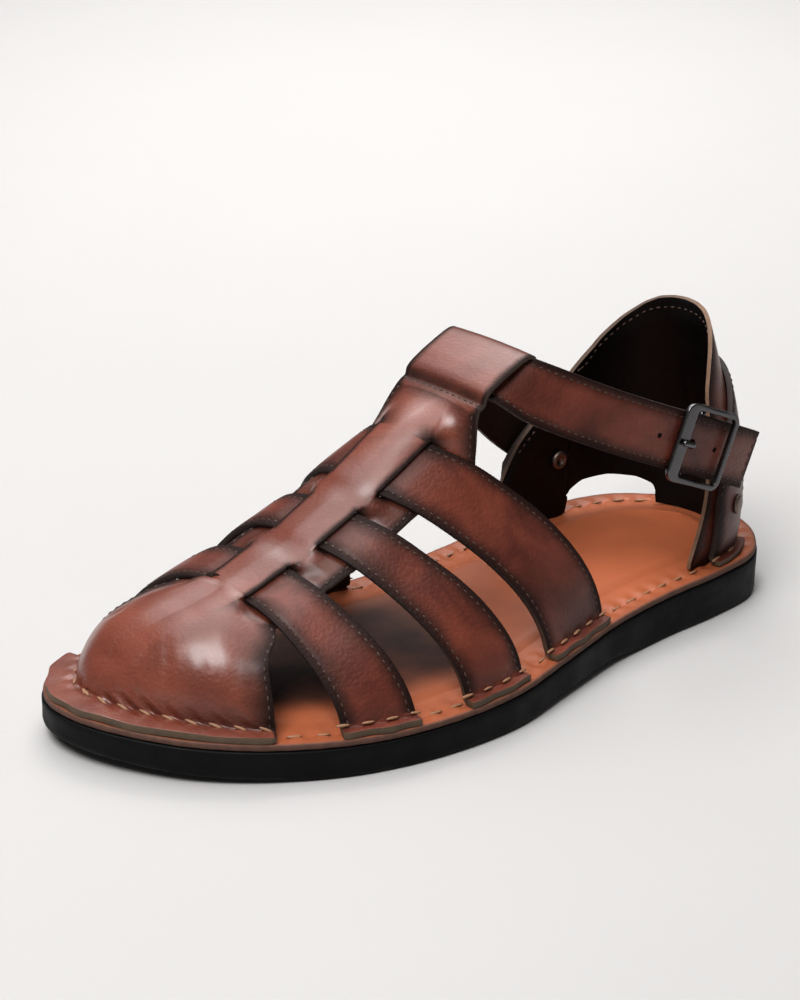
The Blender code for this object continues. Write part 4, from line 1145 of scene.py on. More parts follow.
def build_heel_band(sizes, skins):
    """Outer band round the heel with a leg and a tab on each side."""
    near = COUNTER_THICK + BAND_GAP
    turn, top, low, on_foot = heel_edges(BAND, near)
    base = np.stack([band_line(*at, near, foot) for *at, foot in zip(turn, low, top, on_foot)], 1)
    keep = np.ones((base.shape[0] - 1, base.shape[1] - 1), bool)
    keep[:BAND_TAB_ROWS] = (on_foot[:-1] & on_foot[1:])[None]
    normals = away_from_heel(base, normals_of(base, keep))
    turning = slow_normals(base.transpose(1, 0, 2), normals.transpose(1, 0, 2), BEND_TURN).transpose(1, 0, 2)
    normals = np.where(on_foot[None, :, None], turning, normals)
    outer = base + normals * BAND_THICK
    wall = slice(BAND_TAB_ROWS, None)
    crown = BAND_CROWN * np.sin(math.pi * np.linspace(0.0, 1.0, BAND_ROWS)) ** 0.5
    outer[wall] += normals[wall] * (crown[:, None] + wobble(base[wall], *BAND_WOBBLE))[..., None]
    tab = np.concatenate([np.ones(BAND_TAB_ROWS - 2), np.linspace(1, 0, 6), np.zeros(BAND_ROWS - 4)])
    tab = tab[:, None] * on_foot[None]
    marks = {"edge": np.maximum(edge_distance(outer, keep), RAW_RIM * tab), "burnish": 0.25, "raw": tab}
    sew("brown", outer, normals, np.s_[-3, 2:len(turn) - 2])
    for start, stop in BAND_FEET:
        sew("tan", outer, normals, np.s_[BAND_TAB_ROWS - 2, np.flatnonzero((turn > start) & (turn < stop))])
    arch = np.flatnonzero((turn > BAND_ARCH[0]) & (turn < BAND_ARCH[1]))
    sew("brown", outer, normals, np.s_[BAND_TAB_ROWS + 3, arch])
    return panel("heel_band_leather", outer, normals, keep, BAND_THICK, marks, skins, sizes.rounding)


def strap_frames(steps):
    """Middle line of the ankle strap with its along, across and out directions."""
    knots = np.arange(len(PATH["x"]), dtype=float)
    at = np.linspace(0.0, knots[-1], steps + 1)
    line = np.stack([smooth(at, knots, PATH[key]) for key in ("x", "s", "z")], -1)
    lean = np.radians(smooth(at, knots, PATH["lean"]))
    along = unit(np.gradient(line, axis=0))
    up = np.stack([np.zeros(len(at)), -np.sin(lean), np.cos(lean)], -1)
    up = unit(up - along * np.sum(up * along, 1)[:, None])
    return line, along, up, unit(np.cross(up, along))


def buckle_axes():
    """Directions of the buckle: along the strap toward the loop, across it and out from the shoe."""
    along = unit(np.array(BUCKLE_AHEAD) - np.array(BUCKLE_AT))
    lean = math.radians(BUCKLE_LEAN)
    up = np.array([0.0, -math.sin(lean), math.cos(lean)])
    up = unit(up - along * float(up @ along))
    return along, up, unit(np.cross(along, up))


def buckle_point(a, w, n):
    """Point at a along, w across and n out from the buckle's middle."""
    along, up, out = buckle_axes()
    return np.array(BUCKLE_AT) + along * a + up * w + out * n


def build_ankle_strap(sizes, skins):
    """Strap from the medial side through the instep loop and the buckle to its tail, with punched holes."""
    line, along, up, out = strap_frames(300)
    used = lengths(line) < lengths(line)[-1] - TAIL_TRIM
    line, along, up, out = line[used], along[used], up[used], out[used]
    outward = out if out[0, 0] < 0 else -out
    across = border_rows(STRAP_WIDE) - STRAP_WIDE / 2
    from_middle = np.abs(line[:, 0] - PATH_MIDDLE)
    in_loop = 1.0 - ease(from_middle, (LOOP_HALF - 3.5, LOOP_HALF + 5.5))[:, None]
    spread = across[None] * (1.0 - LOOP_SQUEEZE * in_loop) + LOOP_SHIFT * in_loop
    outer = line[:, None] + up[:, None] * spread[..., None] + outward[:, None] * STRAP_THICK / 2
    keep = np.ones((outer.shape[0] - 1, outer.shape[1] - 1), bool)
    normals = np.repeat(outward[:, None], outer.shape[1], 1)
    from_edge = STRAP_WIDE / 2 - np.abs(across)[None]
    holes = [buckle_point(at, 0.0, STRAP_THICK / 2) for at in HOLES_ALONG]
    dents = sum(HOLE_DENT * hump(np.linalg.norm(outer - hole, axis=-1), 1.5) for hole in holes)
    outer = outer - normals * (stitch_groove(from_edge, sizes) + dents)[..., None]
    run = lengths(line)
    for share, low, high, depth, width in ANKLE_CREASES:
        k = int(np.argmin(np.abs(run - share * run[-1])))
        middle = at_lengths(line, run, np.full(14, share * run[-1]))
        rise = np.linspace(low, high, 14)[:, None] * STRAP_WIDE / 2
        bend = 1.1 * np.sin(np.linspace(0.0, 3.0, 14))[:, None]
        path = middle + up[k] * rise + along[k] * bend + outward[k] * STRAP_THICK / 2
        outer = press(outer, normals, path, depth, width)
    rim = 1.3 * np.minimum(from_edge, 2.0 * np.minimum(run, run[-1] - run)[:, None])
    # Painted shade on the strap where it comes out from under the instep loop.
    under_loop_shade = hump(np.maximum(from_middle - LOOP_HALF, 0.0), 6.0) * (line[:, 1] > 105.0)
    marks = {"edge": rim, "burnish": 0.3 * under_loop_shade[:, None], "raw": 0.0}
    for col in (STITCH_ROW, outer.shape[1] - 1 - STITCH_ROW):
        sew("brown", outer, normals, np.s_[3:-3, col])
    for end in (run, run[-1] - run):
        sew("brown", outer, normals, np.s_[int(np.argmin(np.abs(end - STITCH_INSET))), 5:-5])
    thing = panel("ankle_strap_leather", outer, normals, keep, STRAP_THICK, marks, skins, sizes.rounding)
    punch(thing, sizes.hole_radius)
    return thing


def punch(thing, radius):
    """Cut the strap's round holes along the buckle's out direction, the prong's hole wider."""
    along, up, out = buckle_axes()
    turns = full_turn(18)[:, None]
    for a in HOLES_ALONG:
        wide = radius * (2.0 if a == PRONG_HOLE else 1.0)
        ring = buckle_point(a, 0.0, 0.0) + wide * (np.cos(turns) * along + np.sin(turns) * up)
        cutter = loft("punch", [ring - 4.0 * out, ring + 4.0 * out], [])
        cut = thing.modifiers.new("punch", "BOOLEAN")
        cut.operation = "DIFFERENCE"
        cut.solver = "EXACT"
        cut.object = cutter
        plain(thing)
        bpy.data.objects.remove(cutter)


def round_box(long_low, long_high, tall, radius):
    """Points of a rounded box in the buckle's plane, as along and across."""
    found = []
    corners = ((long_high, tall, 0), (long_low, tall, 90), (long_low, -tall, 180), (long_high, -tall, 270))
    for cx, cy, start in corners:
        for k in range(13):
            angle = math.radians(start + 90.0 * k / 12)
            found.append((cx - math.copysign(radius, cx) + radius * math.cos(angle),
                          cy - math.copysign(radius, cy) + radius * math.sin(angle)))
    even = np.array(found + found[:1])
    run = lengths(even)
    side = np.concatenate([np.linspace(run[k], run[k + 1], 9 if run[k + 1] - run[k] > 2 else 2)[:-1]
                           for k in range(len(run) - 1)])
    return at_lengths(even, run, side)


def build_frame(skin):
    """Rounded buckle frame with side rails that drop at the pin."""
    outside = round_box(-FRAME_HALF_LONG, FRAME_HALF_LONG, FRAME_HALF_TALL, FRAME_CORNER)
    inside = round_box(-FRAME_HALF_LONG + FRAME_RAIL, FRAME_HALF_LONG - FRAME_WIDE_BAR,
                       FRAME_HALF_TALL - FRAME_RAIL, FRAME_INNER_CORNER)
    rings = []
    for (a, w), (b, v) in zip(outside, inside):
        drop = float(ease(FRAME_HALF_LONG - abs(a), FRAME_LUG))
        back = FRAME_BAR_BACK + (FRAME_RAIL_BACK - FRAME_BAR_BACK) * drop
        ring = []
        for t in full_turn(24):
            c, s = (math.copysign(abs(x) ** FRAME_SQUARE, x) for x in (math.cos(t), math.sin(t)))
            m = 0.5 - 0.5 * c
            n = (FRAME_FRONT + back) / 2 + (FRAME_FRONT - back) / 2 * s
            ring.append(buckle_point(a + (b - a) * m, w + (v - w) * m, n))
        rings.append(ring)
    return loft("buckle_frame_metal", rings, [skin], closed=True)


def build_buckle(skin):
    """Frame, centre pin and prong of the buckle."""
    along, up = buckle_axes()[:2]
    reach = FRAME_HALF_TALL - FRAME_RAIL - GAP
    pin = [buckle_point(0.0, w, PIN_DEPTH) for w in np.linspace(-reach, reach, 5)]
    knots = np.arange(len(PRONG["out"]), dtype=float)
    at = np.linspace(0.0, knots[-1], 26)
    bent = zip(smooth(at, knots, PRONG["along"]), smooth(at, knots, PRONG["out"]))
    prong = [buckle_point(a, 0.0, n) for a, n in bent]
    return (build_frame(skin), rod("buckle_pin_metal", pin, along, PIN_RADIUS, skin),
            rod("buckle_prong_metal", prong, up, PRONG_RADIUS, skin))


def rod(name, points, side, radius, skin):
    """Round metal rod through points, with domed ends."""
    points = np.asarray(points, float)
    run = lengths(points)
    ends = np.array([0.02, 0.12, 0.3, 0.55, 0.8, 1.0]) * radius
    between = run[1:-1][(run[1:-1] > radius) & (run[1:-1] < run[-1] - radius)]
    at = np.concatenate([ends, between, (run[-1] - ends)[::-1]])
    line = at_lengths(points, run, at)
    other = np.cross(unit(np.gradient(line, axis=0)), side)
    near = np.minimum(at, run[-1] - at)
    size = radius * np.sqrt(np.clip(1.0 - np.clip(1.0 - near / radius, 0.0, 1.0) ** 2, 0.01, 1.0))
    circle = [(math.cos(t), math.sin(t)) for t in full_turn(16)]
    rings = [[p + r * (c * side + s * o) for c, s in circle] for p, o, r in zip(line, other, size)]
    return loft(name, rings, [skin])


def build_rivet(name, at, near, hand, profile, skin):
    """Low rivet of a profile on the heel's wall; hand is 1 outside the wall and -1 inside it."""

    def wall(turn, z, out):
        return heel_point(np.array(at[0] + turn), np.array(at[1] + z), near + out)

    here = wall(0.0, 0.0, 0.0)
    side, up = unit(wall(0.5, 0.0, 0.0) - here), unit(wall(0.0, 0.5, 0.0) - here)
    out = unit(np.cross(side, up))
    out = out * math.copysign(1.0, float(out @ (wall(0.0, 0.0, 1.0) - here))) * hand
    turns = full_turn(28)[:, None]
    circle = np.cos(turns) * side + np.sin(turns) * up
    rings = [here + out * (GAP + rise * RIVET_RISE) + max(share, 0.02) * RIVET_RADIUS * circle
             for share, rise in profile]
    return loft(name, rings, [skin])


def across_sole(angle, inset, share):
    """Points (x, s) at a share of the way from the sole's lateral edge to its medial edge."""
    lateral, medial = edge(angle, "lateral", inset), edge(angle, "medial", inset)
    return lateral + (medial - lateral) * share


def sole_wall(angle, side):
    """Lines of the outsole's side wall from its top edge down to its foot."""
    found = []
    for inset, share, extra in SOLE_SIDE:
        p = edge(angle, side, inset)
        low, high = sole_bottom(p[:, 1]), sole_top(p[:, 1])
        found.append(np.column_stack([p, low + (high - low) * share + extra]))
    return found


def build_outsole(skin):
    """Rubber sole: bevelled foot, upright side, lifted waist, toe spring and a ribbed tread."""
    angle = np.linspace(0.0, math.pi, 260)
    shares = np.linspace(0.0, 1.0, 34)[1:-1]
    top, foot = [], []
    for share in shares[::4]:
        p = across_sole(angle, 1.2, share)
        top.append(np.column_stack([p, sole_top(p[:, 1])]))
    for share in shares:
        p = across_sole(angle, 1.7, share)
        s = p[:, 1]
        border = np.minimum(np.minimum(min(share, 1 - share) * 90.0, s), LENGTH - s)
        rib = ease(np.sin(2 * math.pi * s / TREAD_PITCH), TREAD_RIB) * ease(border, TREAD_BORDER)
        waist = ease(s / LENGTH, TREAD_STOPS) * (1.0 - ease(s / LENGTH, TREAD_STARTS))
        foot.append(np.column_stack([p, sole_bottom(s) + TREAD_DEPTH * rib * (1.0 - waist)]))
    ring = sole_wall(angle, "lateral")[::-1] + top + sole_wall(angle, "medial") + foot[::-1]
    return loft("outsole_rubber", np.stack(ring, 1), [skin])


def on_floor(points):
    """Points (x, s) with no height."""
    return np.column_stack([points, np.zeros(len(points))])


def footbed_rim(angle, side, pitch):
    """Lines of the footbed's rim on one side, from its lower edge to the pad, pulled down at the stitches."""
    pull = np.cos(2 * math.pi * lengths(on_floor(edge(angle, side, GROOVE_INSET))) / pitch)
    found = []
    for inset, rise, raw in RIM_STEPS:
        p = edge(angle, side, inset)
        near = hump(inset - 5.6, 2.2) + hump(inset - 8.6, 1.2)
        ragged = wobble(on_floor(p), *RIM_RAGGED) * raw
        z = rim_top(p[:, 1]) + rise + RIM_PULL * near * (pull - 1.0) + 0.5 * ragged
        found.append(np.column_stack([p, z]))
    return found


def build_footbed(sizes, skin):
    """Leather footbed: raw-edged rim pulled in at its stitches, and the raised pad."""
    angle = np.linspace(0.0, math.pi, 420)
    lateral, medial = (footbed_rim(angle, side, sizes.welt_pitch) for side in ("lateral", "medial"))
    pad, low = [], []
    for share in np.linspace(0.0, 1.0, 26)[1:-1]:
        p = across_sole(angle, PAD_END, share)
        cup = HEEL_CUP * math.sin(math.pi * share) * (1.0 - ease(p[:, 1], HEEL_CUP_ENDS))
        pad.append(np.column_stack([p, rim_top(p[:, 1]) + PAD_RISE - cup + wobble(on_floor(p), *PAD_WOBBLE)]))
    for share in np.linspace(1.0, 0.0, 12)[1:-1]:
        p = across_sole(angle, RIM_STEPS[0][0], share)
        low.append(np.column_stack([p, sole_top(p[:, 1]) + GAP]))
    ring = np.stack(lateral + pad + medial[::-1] + low, 1)
    rim_raw = [raw for inset, rise, raw in RIM_STEPS]
    raw = np.array(rim_raw + [0.0] * len(pad) + rim_raw[::-1] + [0.0] * len(low))
    x, s = ring[..., 0], ring[..., 1]
    inward = np.minimum(*(np.abs(x - edge(angle, side, 0.0)[:, :1]) for side in ("lateral", "medial")))
    # A stain and a painted shadow under the straps, in the forefoot and away from the edges.
    stain_and_shade = ease(s, STAIN_SHADE_STARTS) * (1.0 - ease(s, STAIN_SHADE_ENDS)) * ease(inward, STAIN_SHADE_INWARD)
    return loft("footbed_leather", ring, [skin], {"raw": raw, "stain_and_shade": stain_and_shade, "edge": inward})


def sew_welt():
    """Tan stitches in the rim's groove wherever no leather covers it."""
    angle = np.linspace(0.0, math.pi, 900)
    for side, covered in COVERED.items():
        p = edge(angle, side, GROOVE_INSET)
        points = np.column_stack([p, rim_top(p[:, 1]) - WELT_SINK])
        hidden = np.logical_or.reduce([(p[:, 1] > start) & (p[:, 1] < stop) for start, stop in covered])
        for shown in stretches(~hidden, 5):
            sew("tan", points, np.repeat([[0.0, 0.0, 1.0]], len(p), 0), shown)


def set_inputs(tree, node, inputs):
    """Set or link a node's inputs by name or number."""
    for key, value in inputs.items():
        if isinstance(value, bpy.types.NodeSocket):
            tree.links.new(value, node.inputs[key])
        else:
            node.inputs[key].default_value = value


def add_node(tree, kind, inputs=None, **settings):
    """Node with its settings made and its inputs set or linked."""
    made = tree.nodes.new(kind)
    for key, value in settings.items():
        setattr(made, key, value)
    set_inputs(tree, made, inputs or {})
    return made


def new_group(name, kind, inputs, outputs):
    """Node group with named sockets, and its input and output nodes."""
    group = bpy.data.node_groups.new(name, kind)
    for label, socket, default in inputs:
        made = group.interface.new_socket(label, in_out="INPUT", socket_type=socket)
        if default is not None:
            made.default_value = default
    for label, socket in outputs:
        group.interface.new_socket(label, in_out="OUTPUT", socket_type=socket)
    return group, group.nodes.new("NodeGroupInput"), group.nodes.new("NodeGroupOutput")


def math_node(tree, operation, a, b=0.0, clamp=False):
    """Output of a math node on two values or sockets."""
    return add_node(tree, "ShaderNodeMath", {0: a, 1: b}, operation=operation, use_clamp=clamp).outputs[0]


def scaled(tree, value, factor, plus=0.0):
    """A value times a factor plus a constant."""
    product = math_node(tree, "MULTIPLY", value, factor)
    return math_node(tree, "ADD", product, plus) if plus else product


def noise(tree, spot, scale, detail, **more):
    """Value of a noise at a place."""
    inputs = {"Vector": spot, "Scale": scale, "Detail": detail, **more}
    return add_node(tree, "ShaderNodeTexNoise", inputs).outputs["Fac"]


def span_value(tree, value, low, high, start=0.0, stop=1.0, kind="LINEAR"):
    """A value from start to stop spread between low and high."""
    inputs = {"Value": value, "From Min": start, "From Max": stop, "To Min": low, "To Max": high}
    return add_node(tree, "ShaderNodeMapRange", inputs, interpolation_type=kind).outputs["Result"]


def grain_group(name):
    """Leather grain: pores, fine folds and a slow unevenness, as one height."""
    group, given, made = new_group(name, "ShaderNodeTree", (
        ("Place", "NodeSocketVector", None), ("Pores", "NodeSocketFloat", 700.0),
        ("Folds", "NodeSocketFloat", 0.5)),
        (("Height", "NodeSocketFloat"),))
    spot = given.outputs["Place"]
    pores = add_node(group, "ShaderNodeTexVoronoi", {"Vector": spot, "Scale": given.outputs["Pores"]},
                     feature="SMOOTH_F1")
    folds = noise(group, spot, 240.0, 4.0, Distortion=1.2)
    lines = math_node(group, "ABSOLUTE", math_node(group, "SUBTRACT", folds, 0.5))
    height = math_node(group, "ADD", scaled(group, pores.outputs["Distance"], 0.55),
                       scaled(group, noise(group, spot, 2600.0, 3.0), 0.35))
    lines = math_node(group, "MULTIPLY", lines, given.outputs["Folds"])
    set_inputs(group, made, {"Height": math_node(group, "ADD", height, lines)})
    return group


def burnish_group(name):
    """Darkness of hand burnishing from the distance to an edge, and of burnish and painted shade from marks
    laid on the piece.
    """
    group, given, made = new_group(name, "ShaderNodeTree", (
        ("Place", "NodeSocketVector", None), ("Edge", "NodeSocketFloat", 9.0),
        ("Mark", "NodeSocketFloat", 0.0), ("Reach", "NodeSocketFloat", 6.0)), (("Dark", "NodeSocketFloat"),))
    cloud = noise(group, given.outputs["Place"], 95.0, 3.0)
    reach = math_node(group, "MULTIPLY", given.outputs["Reach"], scaled(group, cloud, 1.1, 0.45))
    near = span_value(group, given.outputs["Edge"], 1.0, 0.0, stop=reach, kind="SMOOTHSTEP")
    mark = math_node(group, "MULTIPLY", given.outputs["Mark"], math_node(group, "ADD", cloud, 0.5))
    soft = math_node(group, "ADD", math_node(group, "MAXIMUM", near, mark), scaled(group, mark, 0.4))
    set_inputs(group, made, {"Dark": math_node(group, "MINIMUM", soft, 1.0)})
    return group


def patina_group(name):
    """Slow mottling of dyed leather and thin rubbed streaks."""
    group, given, made = new_group(name, "ShaderNodeTree", (
        ("Place", "NodeSocketVector", None), ("Size", "NodeSocketFloat", 45.0)),
        (("Tone", "NodeSocketFloat"), ("Rub", "NodeSocketFloat")))
    spot = given.outputs["Place"]
    cloud = noise(group, spot, given.outputs["Size"], 5.0, Roughness=0.55, Distortion=0.6)
    streak = noise(group, spot, 420.0, 2.0, Distortion=2.5)
    set_inputs(group, made, {"Tone": span_value(group, cloud, 0.0, 1.0, 0.3, 0.7, "SMOOTHSTEP"),
                             "Rub": span_value(group, streak, 0.0, 1.0, 0.62, 0.74)})
    return group


GROUPS = {"Leather grain": grain_group, "Edge burnish": burnish_group, "Patina": patina_group}


def new_material(name):
    """Empty material with its shader, its tree and Object coordinates."""
    material = bpy.data.materials.new(name)
    material.use_nodes = True
    tree = material.node_tree
    place_node = tree.nodes.new("ShaderNodeTexCoord")
    return material, tree, tree.nodes["Principled BSDF"], place_node.outputs["Object"]


def mark_value(tree, name):
    """Value of a piece's own mark."""
    return add_node(tree, "ShaderNodeAttribute", attribute_name=name).outputs["Fac"]


def mix_colour(tree, share, a, b):
    """Mixed colour of two colours or sockets."""
    a, b = (v if isinstance(v, bpy.types.NodeSocket) else (*v, 1.0) for v in (a, b))
    return add_node(tree, "ShaderNodeMix", {0: share, 6: a, 7: b}, data_type="RGBA").outputs[2]


def tinted(colour, factor):
    """A colour made darker or lighter by a factor."""
    return [c * factor for c in colour]


def mottled(tree, share, colour, low, high):
    """A colour that changes between two tints of itself."""
    return mix_colour(tree, share, tinted(colour, low), tinted(colour, high))


def use_group(tree, name, inputs):
    """Outputs of a node group placed in a material, the group made on its first use."""
    group = bpy.data.node_groups.get(name) or GROUPS[name](name)
    return add_node(tree, "ShaderNodeGroup", inputs, node_tree=group).outputs


def bump(tree, height, strength, distance):
    """Normal of a small relief from a height."""
    inputs = {"Height": height, "Strength": strength, "Distance": distance}
    return add_node(tree, "ShaderNodeBump", inputs).outputs["Normal"]


def grain_bump(tree, spot, pores, folds, strength, distance):
    """Normal of the leather's grain."""
    grain = use_group(tree, "Leather grain", {"Place": spot, "Pores": pores, "Folds": folds})
    return bump(tree, grain["Height"], strength, distance)


def burnished_leather(name, middle, light, dark, finish):
    """Dyed and hand-burnished leather: mottled middle, dark edges, burnish and painted shade from marks,
    grain and a waxed coat.
    """
    material, tree, shader, spot = new_material(name)
    tone = use_group(tree, "Patina", {"Place": spot, "Size": 38.0})["Tone"]
    shade = use_group(tree, "Edge burnish", {
        "Place": spot, "Edge": mark_value(tree, "edge"), "Mark": mark_value(tree, "burnish"),
        "Reach": finish["reach"]})["Dark"]
    set_inputs(tree, shader, {
        "Base Color": mix_colour(tree, shade, mix_colour(tree, tone, middle, light), dark),
        "Roughness": span_value(tree, shade, finish["rough"], finish["rough"] + 0.2),
        "Specular IOR Level": DULL_SPECULAR,
        "Coat Weight": span_value(tree, shade, finish["wax"], 0.02),
        "Coat Roughness": finish["haze"],
        "Normal": grain_bump(tree, spot, 850.0, 0.15, 0.5, 0.001),
    })
    return material


def cut_edge(name, dyed, raw):
    """Cut leather edge: dyed dark along straps and raw at tabs."""
    material, tree, shader, spot = new_material(name)
    worn = mottled(tree, noise(tree, spot, 260.0, 3.0), raw, 0.55, 1.35)
    set_inputs(tree, shader, {
        "Base Color": mix_colour(tree, mark_value(tree, "raw"), dyed, worn),
        "Roughness": 0.72,
        "Normal": bump(tree, noise(tree, spot, 1500.0, 4.0), 0.6, 0.0004),
    })
    return material


def lining(name, colour, rough):
    """Soft lining leather with a light nap."""
    material, tree, shader, spot = new_material(name)
    tone = use_group(tree, "Patina", {"Place": spot, "Size": 60.0})["Tone"]
    set_inputs(tree, shader, {
        "Base Color": mottled(tree, tone, colour, 0.7, 1.3),
        "Roughness": span_value(tree, tone, rough - 0.06, rough + 0.06),
        "Specular IOR Level": DULL_SPECULAR,
        "Normal": grain_bump(tree, spot, 520.0, 0.8, 0.35, 0.0004),
    })
    return material


def footbed_leather(name, tan, stain_and_shade, raw):
    """Smooth tan footbed with a stain and a painted shadow under the straps, and a raw rim edge."""
    material, tree, shader, spot = new_material(name)
    tone = use_group(tree, "Patina", {"Place": spot, "Size": 22.0})["Tone"]
    cloud = scaled(tree, noise(tree, spot, 50.0, 3.0), 0.5, 0.6)
    # Stain and painted shadow under the straps: darker, rougher and without wax.
    stain_and_shade_share = math_node(tree, "MULTIPLY", mark_value(tree, "stain_and_shade"), cloud, clamp=True)
    near = span_value(tree, mark_value(tree, "edge"), 0.45, 0.0, 5.0, 14.0)
    worn = mottled(tree, noise(tree, spot, 420.0, 4.0), raw, 0.5, 1.3)
    colour = mix_colour(tree, stain_and_shade_share, mottled(tree, tone, tan, 0.86, 1.1), stain_and_shade)
    colour = mix_colour(tree, near, colour, tinted(tan, 0.62))
    matt = math_node(tree, "MAXIMUM", mark_value(tree, "raw"), scaled(tree, stain_and_shade_share, 0.5))
    set_inputs(tree, shader, {
        "Base Color": mix_colour(tree, mark_value(tree, "raw"), colour, worn),
        "Roughness": span_value(tree, matt, 0.42, 0.8),
        "Specular IOR Level": 0.14,
        "Coat Weight": span_value(tree, stain_and_shade_share, 0.12, 0.0),
        "Coat Roughness": 0.35,
        "Normal": grain_bump(tree, spot, 850.0, 0.25, 0.16, 0.0003),
    })
    return material


def sole_rubber(name, colour):
    """Matt black rubber with faint rubbing and dust."""
    material, tree, shader, spot = new_material(name)
    patina = use_group(tree, "Patina", {"Place": spot, "Size": 70.0})
    set_inputs(tree, shader, {
        "Base Color": mottled(tree, scaled(tree, patina["Rub"], 0.25), colour, 1.0, 3.0),
        "Roughness": span_value(tree, patina["Tone"], 0.5, 0.66),
        "Specular IOR Level": DULL_SPECULAR,
        "Normal": bump(tree, noise(tree, spot, 900.0, 4.0), 0.18, 0.0004),
    })
    return material


def dark_metal(name, colour, rough):
    """Dark metal, slightly uneven in polish and rubbed bright in places."""
    material, tree, shader, spot = new_material(name)
    patina = use_group(tree, "Patina", {"Place": spot, "Size": 160.0})
    set_inputs(tree, shader, {
        "Base Color": mottled(tree, scaled(tree, patina["Rub"], 0.08), colour, 1.0, 2.2),
        "Roughness": span_value(tree, patina["Tone"], rough, rough + 0.08),
        "Metallic": 1.0,
    })
    return material


def waxed_thread(name, colour):
    """Waxed twisted thread."""
    material, tree, shader, spot = new_material(name)
    twist = noise(tree, spot, 1800.0, 2.0)
    set_inputs(tree, shader, {
        "Base Color": mottled(tree, twist, colour, 0.6, 1.35),
        "Roughness": 0.55,
        "Normal": bump(tree, twist, 0.5, 0.0003),
    })
    return material


def stage_floor(name, colour):
    """Plain pale matt floor."""
    material, tree, shader, spot = new_material(name)
    set_inputs(tree, shader, {
        "Base Color": mottled(tree, noise(tree, spot, 9.0, 4.0), colour, 0.985, 1.015),
        "Roughness": 0.85,
        "Specular IOR Level": 0.2,
    })
    return material


def made_material(context, key):
    """A finish of the shoe by name, made on first use."""
    c = context.scene.sandal_colours
    recipes = {
        "cap_brown_leather": (burnished_leather, c.cap_middle, c.cap_light, c.dark_edge, CAP_FINISH),
        "strap_brown_leather": (burnished_leather, c.strap_middle, c.strap_light, c.dark_edge, STRAP_FINISH),
        "cut_leather_edge": (cut_edge, c.dyed_edge, c.raw_edge),
        "counter_raw_edge": (cut_edge, c.dyed_edge, c.counter_edge),
        "strap_dark_lining": (lining, c.strap_lining, 0.7),
        "counter_black_lining": (lining, c.black_lining, 0.45),
        "footbed_tan_leather": (footbed_leather, c.footbed, c.stain_and_shade, c.rim_edge),
        "sole_black_rubber": (sole_rubber, c.rubber),
        "buckle_dark_metal": (dark_metal, c.metal, 0.22),
        "rivet_brown_metal": (dark_metal, c.rivet, 0.42),
        "thread_brown": (waxed_thread, c.thread_brown),
        "thread_tan": (waxed_thread, c.thread_tan),
        "stage_pale_floor": (stage_floor, c.floor),
    }
    maker, *values = recipes[key]
    return bpy.data.materials.get(key) or maker(key, *values)


def finishes(context, *keys):
    """Finishes of a panel: outside, inside and edge."""
    return [made_material(context, key) for key in keys]


def aimed_stitches(tree):
    """Rotation of each stitch: flat on the leather, along its line and turned by its slant."""
    out = add_node(tree, "GeometryNodeInputNamedAttribute", {"Name": "out"}, data_type="FLOAT_VECTOR")
    tangent = tree.nodes.new("GeometryNodeInputTangent")
    turn = add_node(tree, "FunctionNodeAxesToRotation", {
        "Primary Axis": out.outputs["Attribute"], "Secondary Axis": tangent.outputs["Tangent"]},
        primary_axis="Z", secondary_axis="X")
    slant = add_node(tree, "GeometryNodeInputNamedAttribute", {"Name": "slant"}, data_type="FLOAT")
    spin = add_node(tree, "FunctionNodeAxisAngleToRotation", {
        "Axis": (0.0, 0.0, 1.0), "Angle": slant.outputs["Attribute"]})
    return add_node(tree, "FunctionNodeRotateRotation", {
        "Rotation": turn.outputs["Rotation"], "Rotate By": spin.outputs["Rotation"]},
        rotation_space="LOCAL").outputs["Rotation"]


def stitch_tree():
    """Geometry Nodes tree that sets one stitch after another along lines."""
    tree, given, made = new_group("Stitch rows", "GeometryNodeTree", (
        ("Lines", "NodeSocketGeometry", None), ("Pitch", "NodeSocketFloat", 0.003),
        ("Long", "NodeSocketFloat", 0.002), ("Wide", "NodeSocketFloat", 0.0008),
        ("High", "NodeSocketFloat", 0.0005), ("Thread", "NodeSocketMaterial", None)),
        (("Stitches", "NodeSocketGeometry"),))
    curve = add_node(tree, "GeometryNodeMeshToCurve", {"Mesh": given.outputs["Lines"]})
    even = add_node(tree, "GeometryNodeResampleCurve", {
        "Curve": curve.outputs["Curve"], "Length": given.outputs["Pitch"]}, mode="LENGTH")
    bead = add_node(tree, "GeometryNodeMeshUVSphere", {"Segments": 8, "Rings": 5, "Radius": 0.5})
    size = add_node(tree, "ShaderNodeCombineXYZ", {
        "X": given.outputs["Long"], "Y": given.outputs["Wide"], "Z": given.outputs["High"]})
    shaped = add_node(tree, "GeometryNodeTransform", {
        "Geometry": bead.outputs["Mesh"], "Scale": size.outputs["Vector"]})
    low, high = STITCH_SIZES
    vary = add_node(tree, "FunctionNodeRandomValue", {2: low, 3: high, "Seed": STITCH_SEED},
                    data_type="FLOAT")
    placed = add_node(tree, "GeometryNodeInstanceOnPoints", {
        "Points": even.outputs["Curve"], "Instance": shaped.outputs["Geometry"],
        "Rotation": aimed_stitches(tree), "Scale": vary.outputs[1]})
    real = add_node(tree, "GeometryNodeRealizeInstances", {"Geometry": placed.outputs["Instances"]})
    soft = add_node(tree, "GeometryNodeSetShadeSmooth", {"Geometry": real.outputs["Geometry"]})
    dyed = add_node(tree, "GeometryNodeSetMaterial", {
        "Geometry": soft.outputs["Geometry"], "Material": given.outputs["Thread"]})
    set_inputs(tree, made, {"Stitches": dyed.outputs["Geometry"]})
    return tree


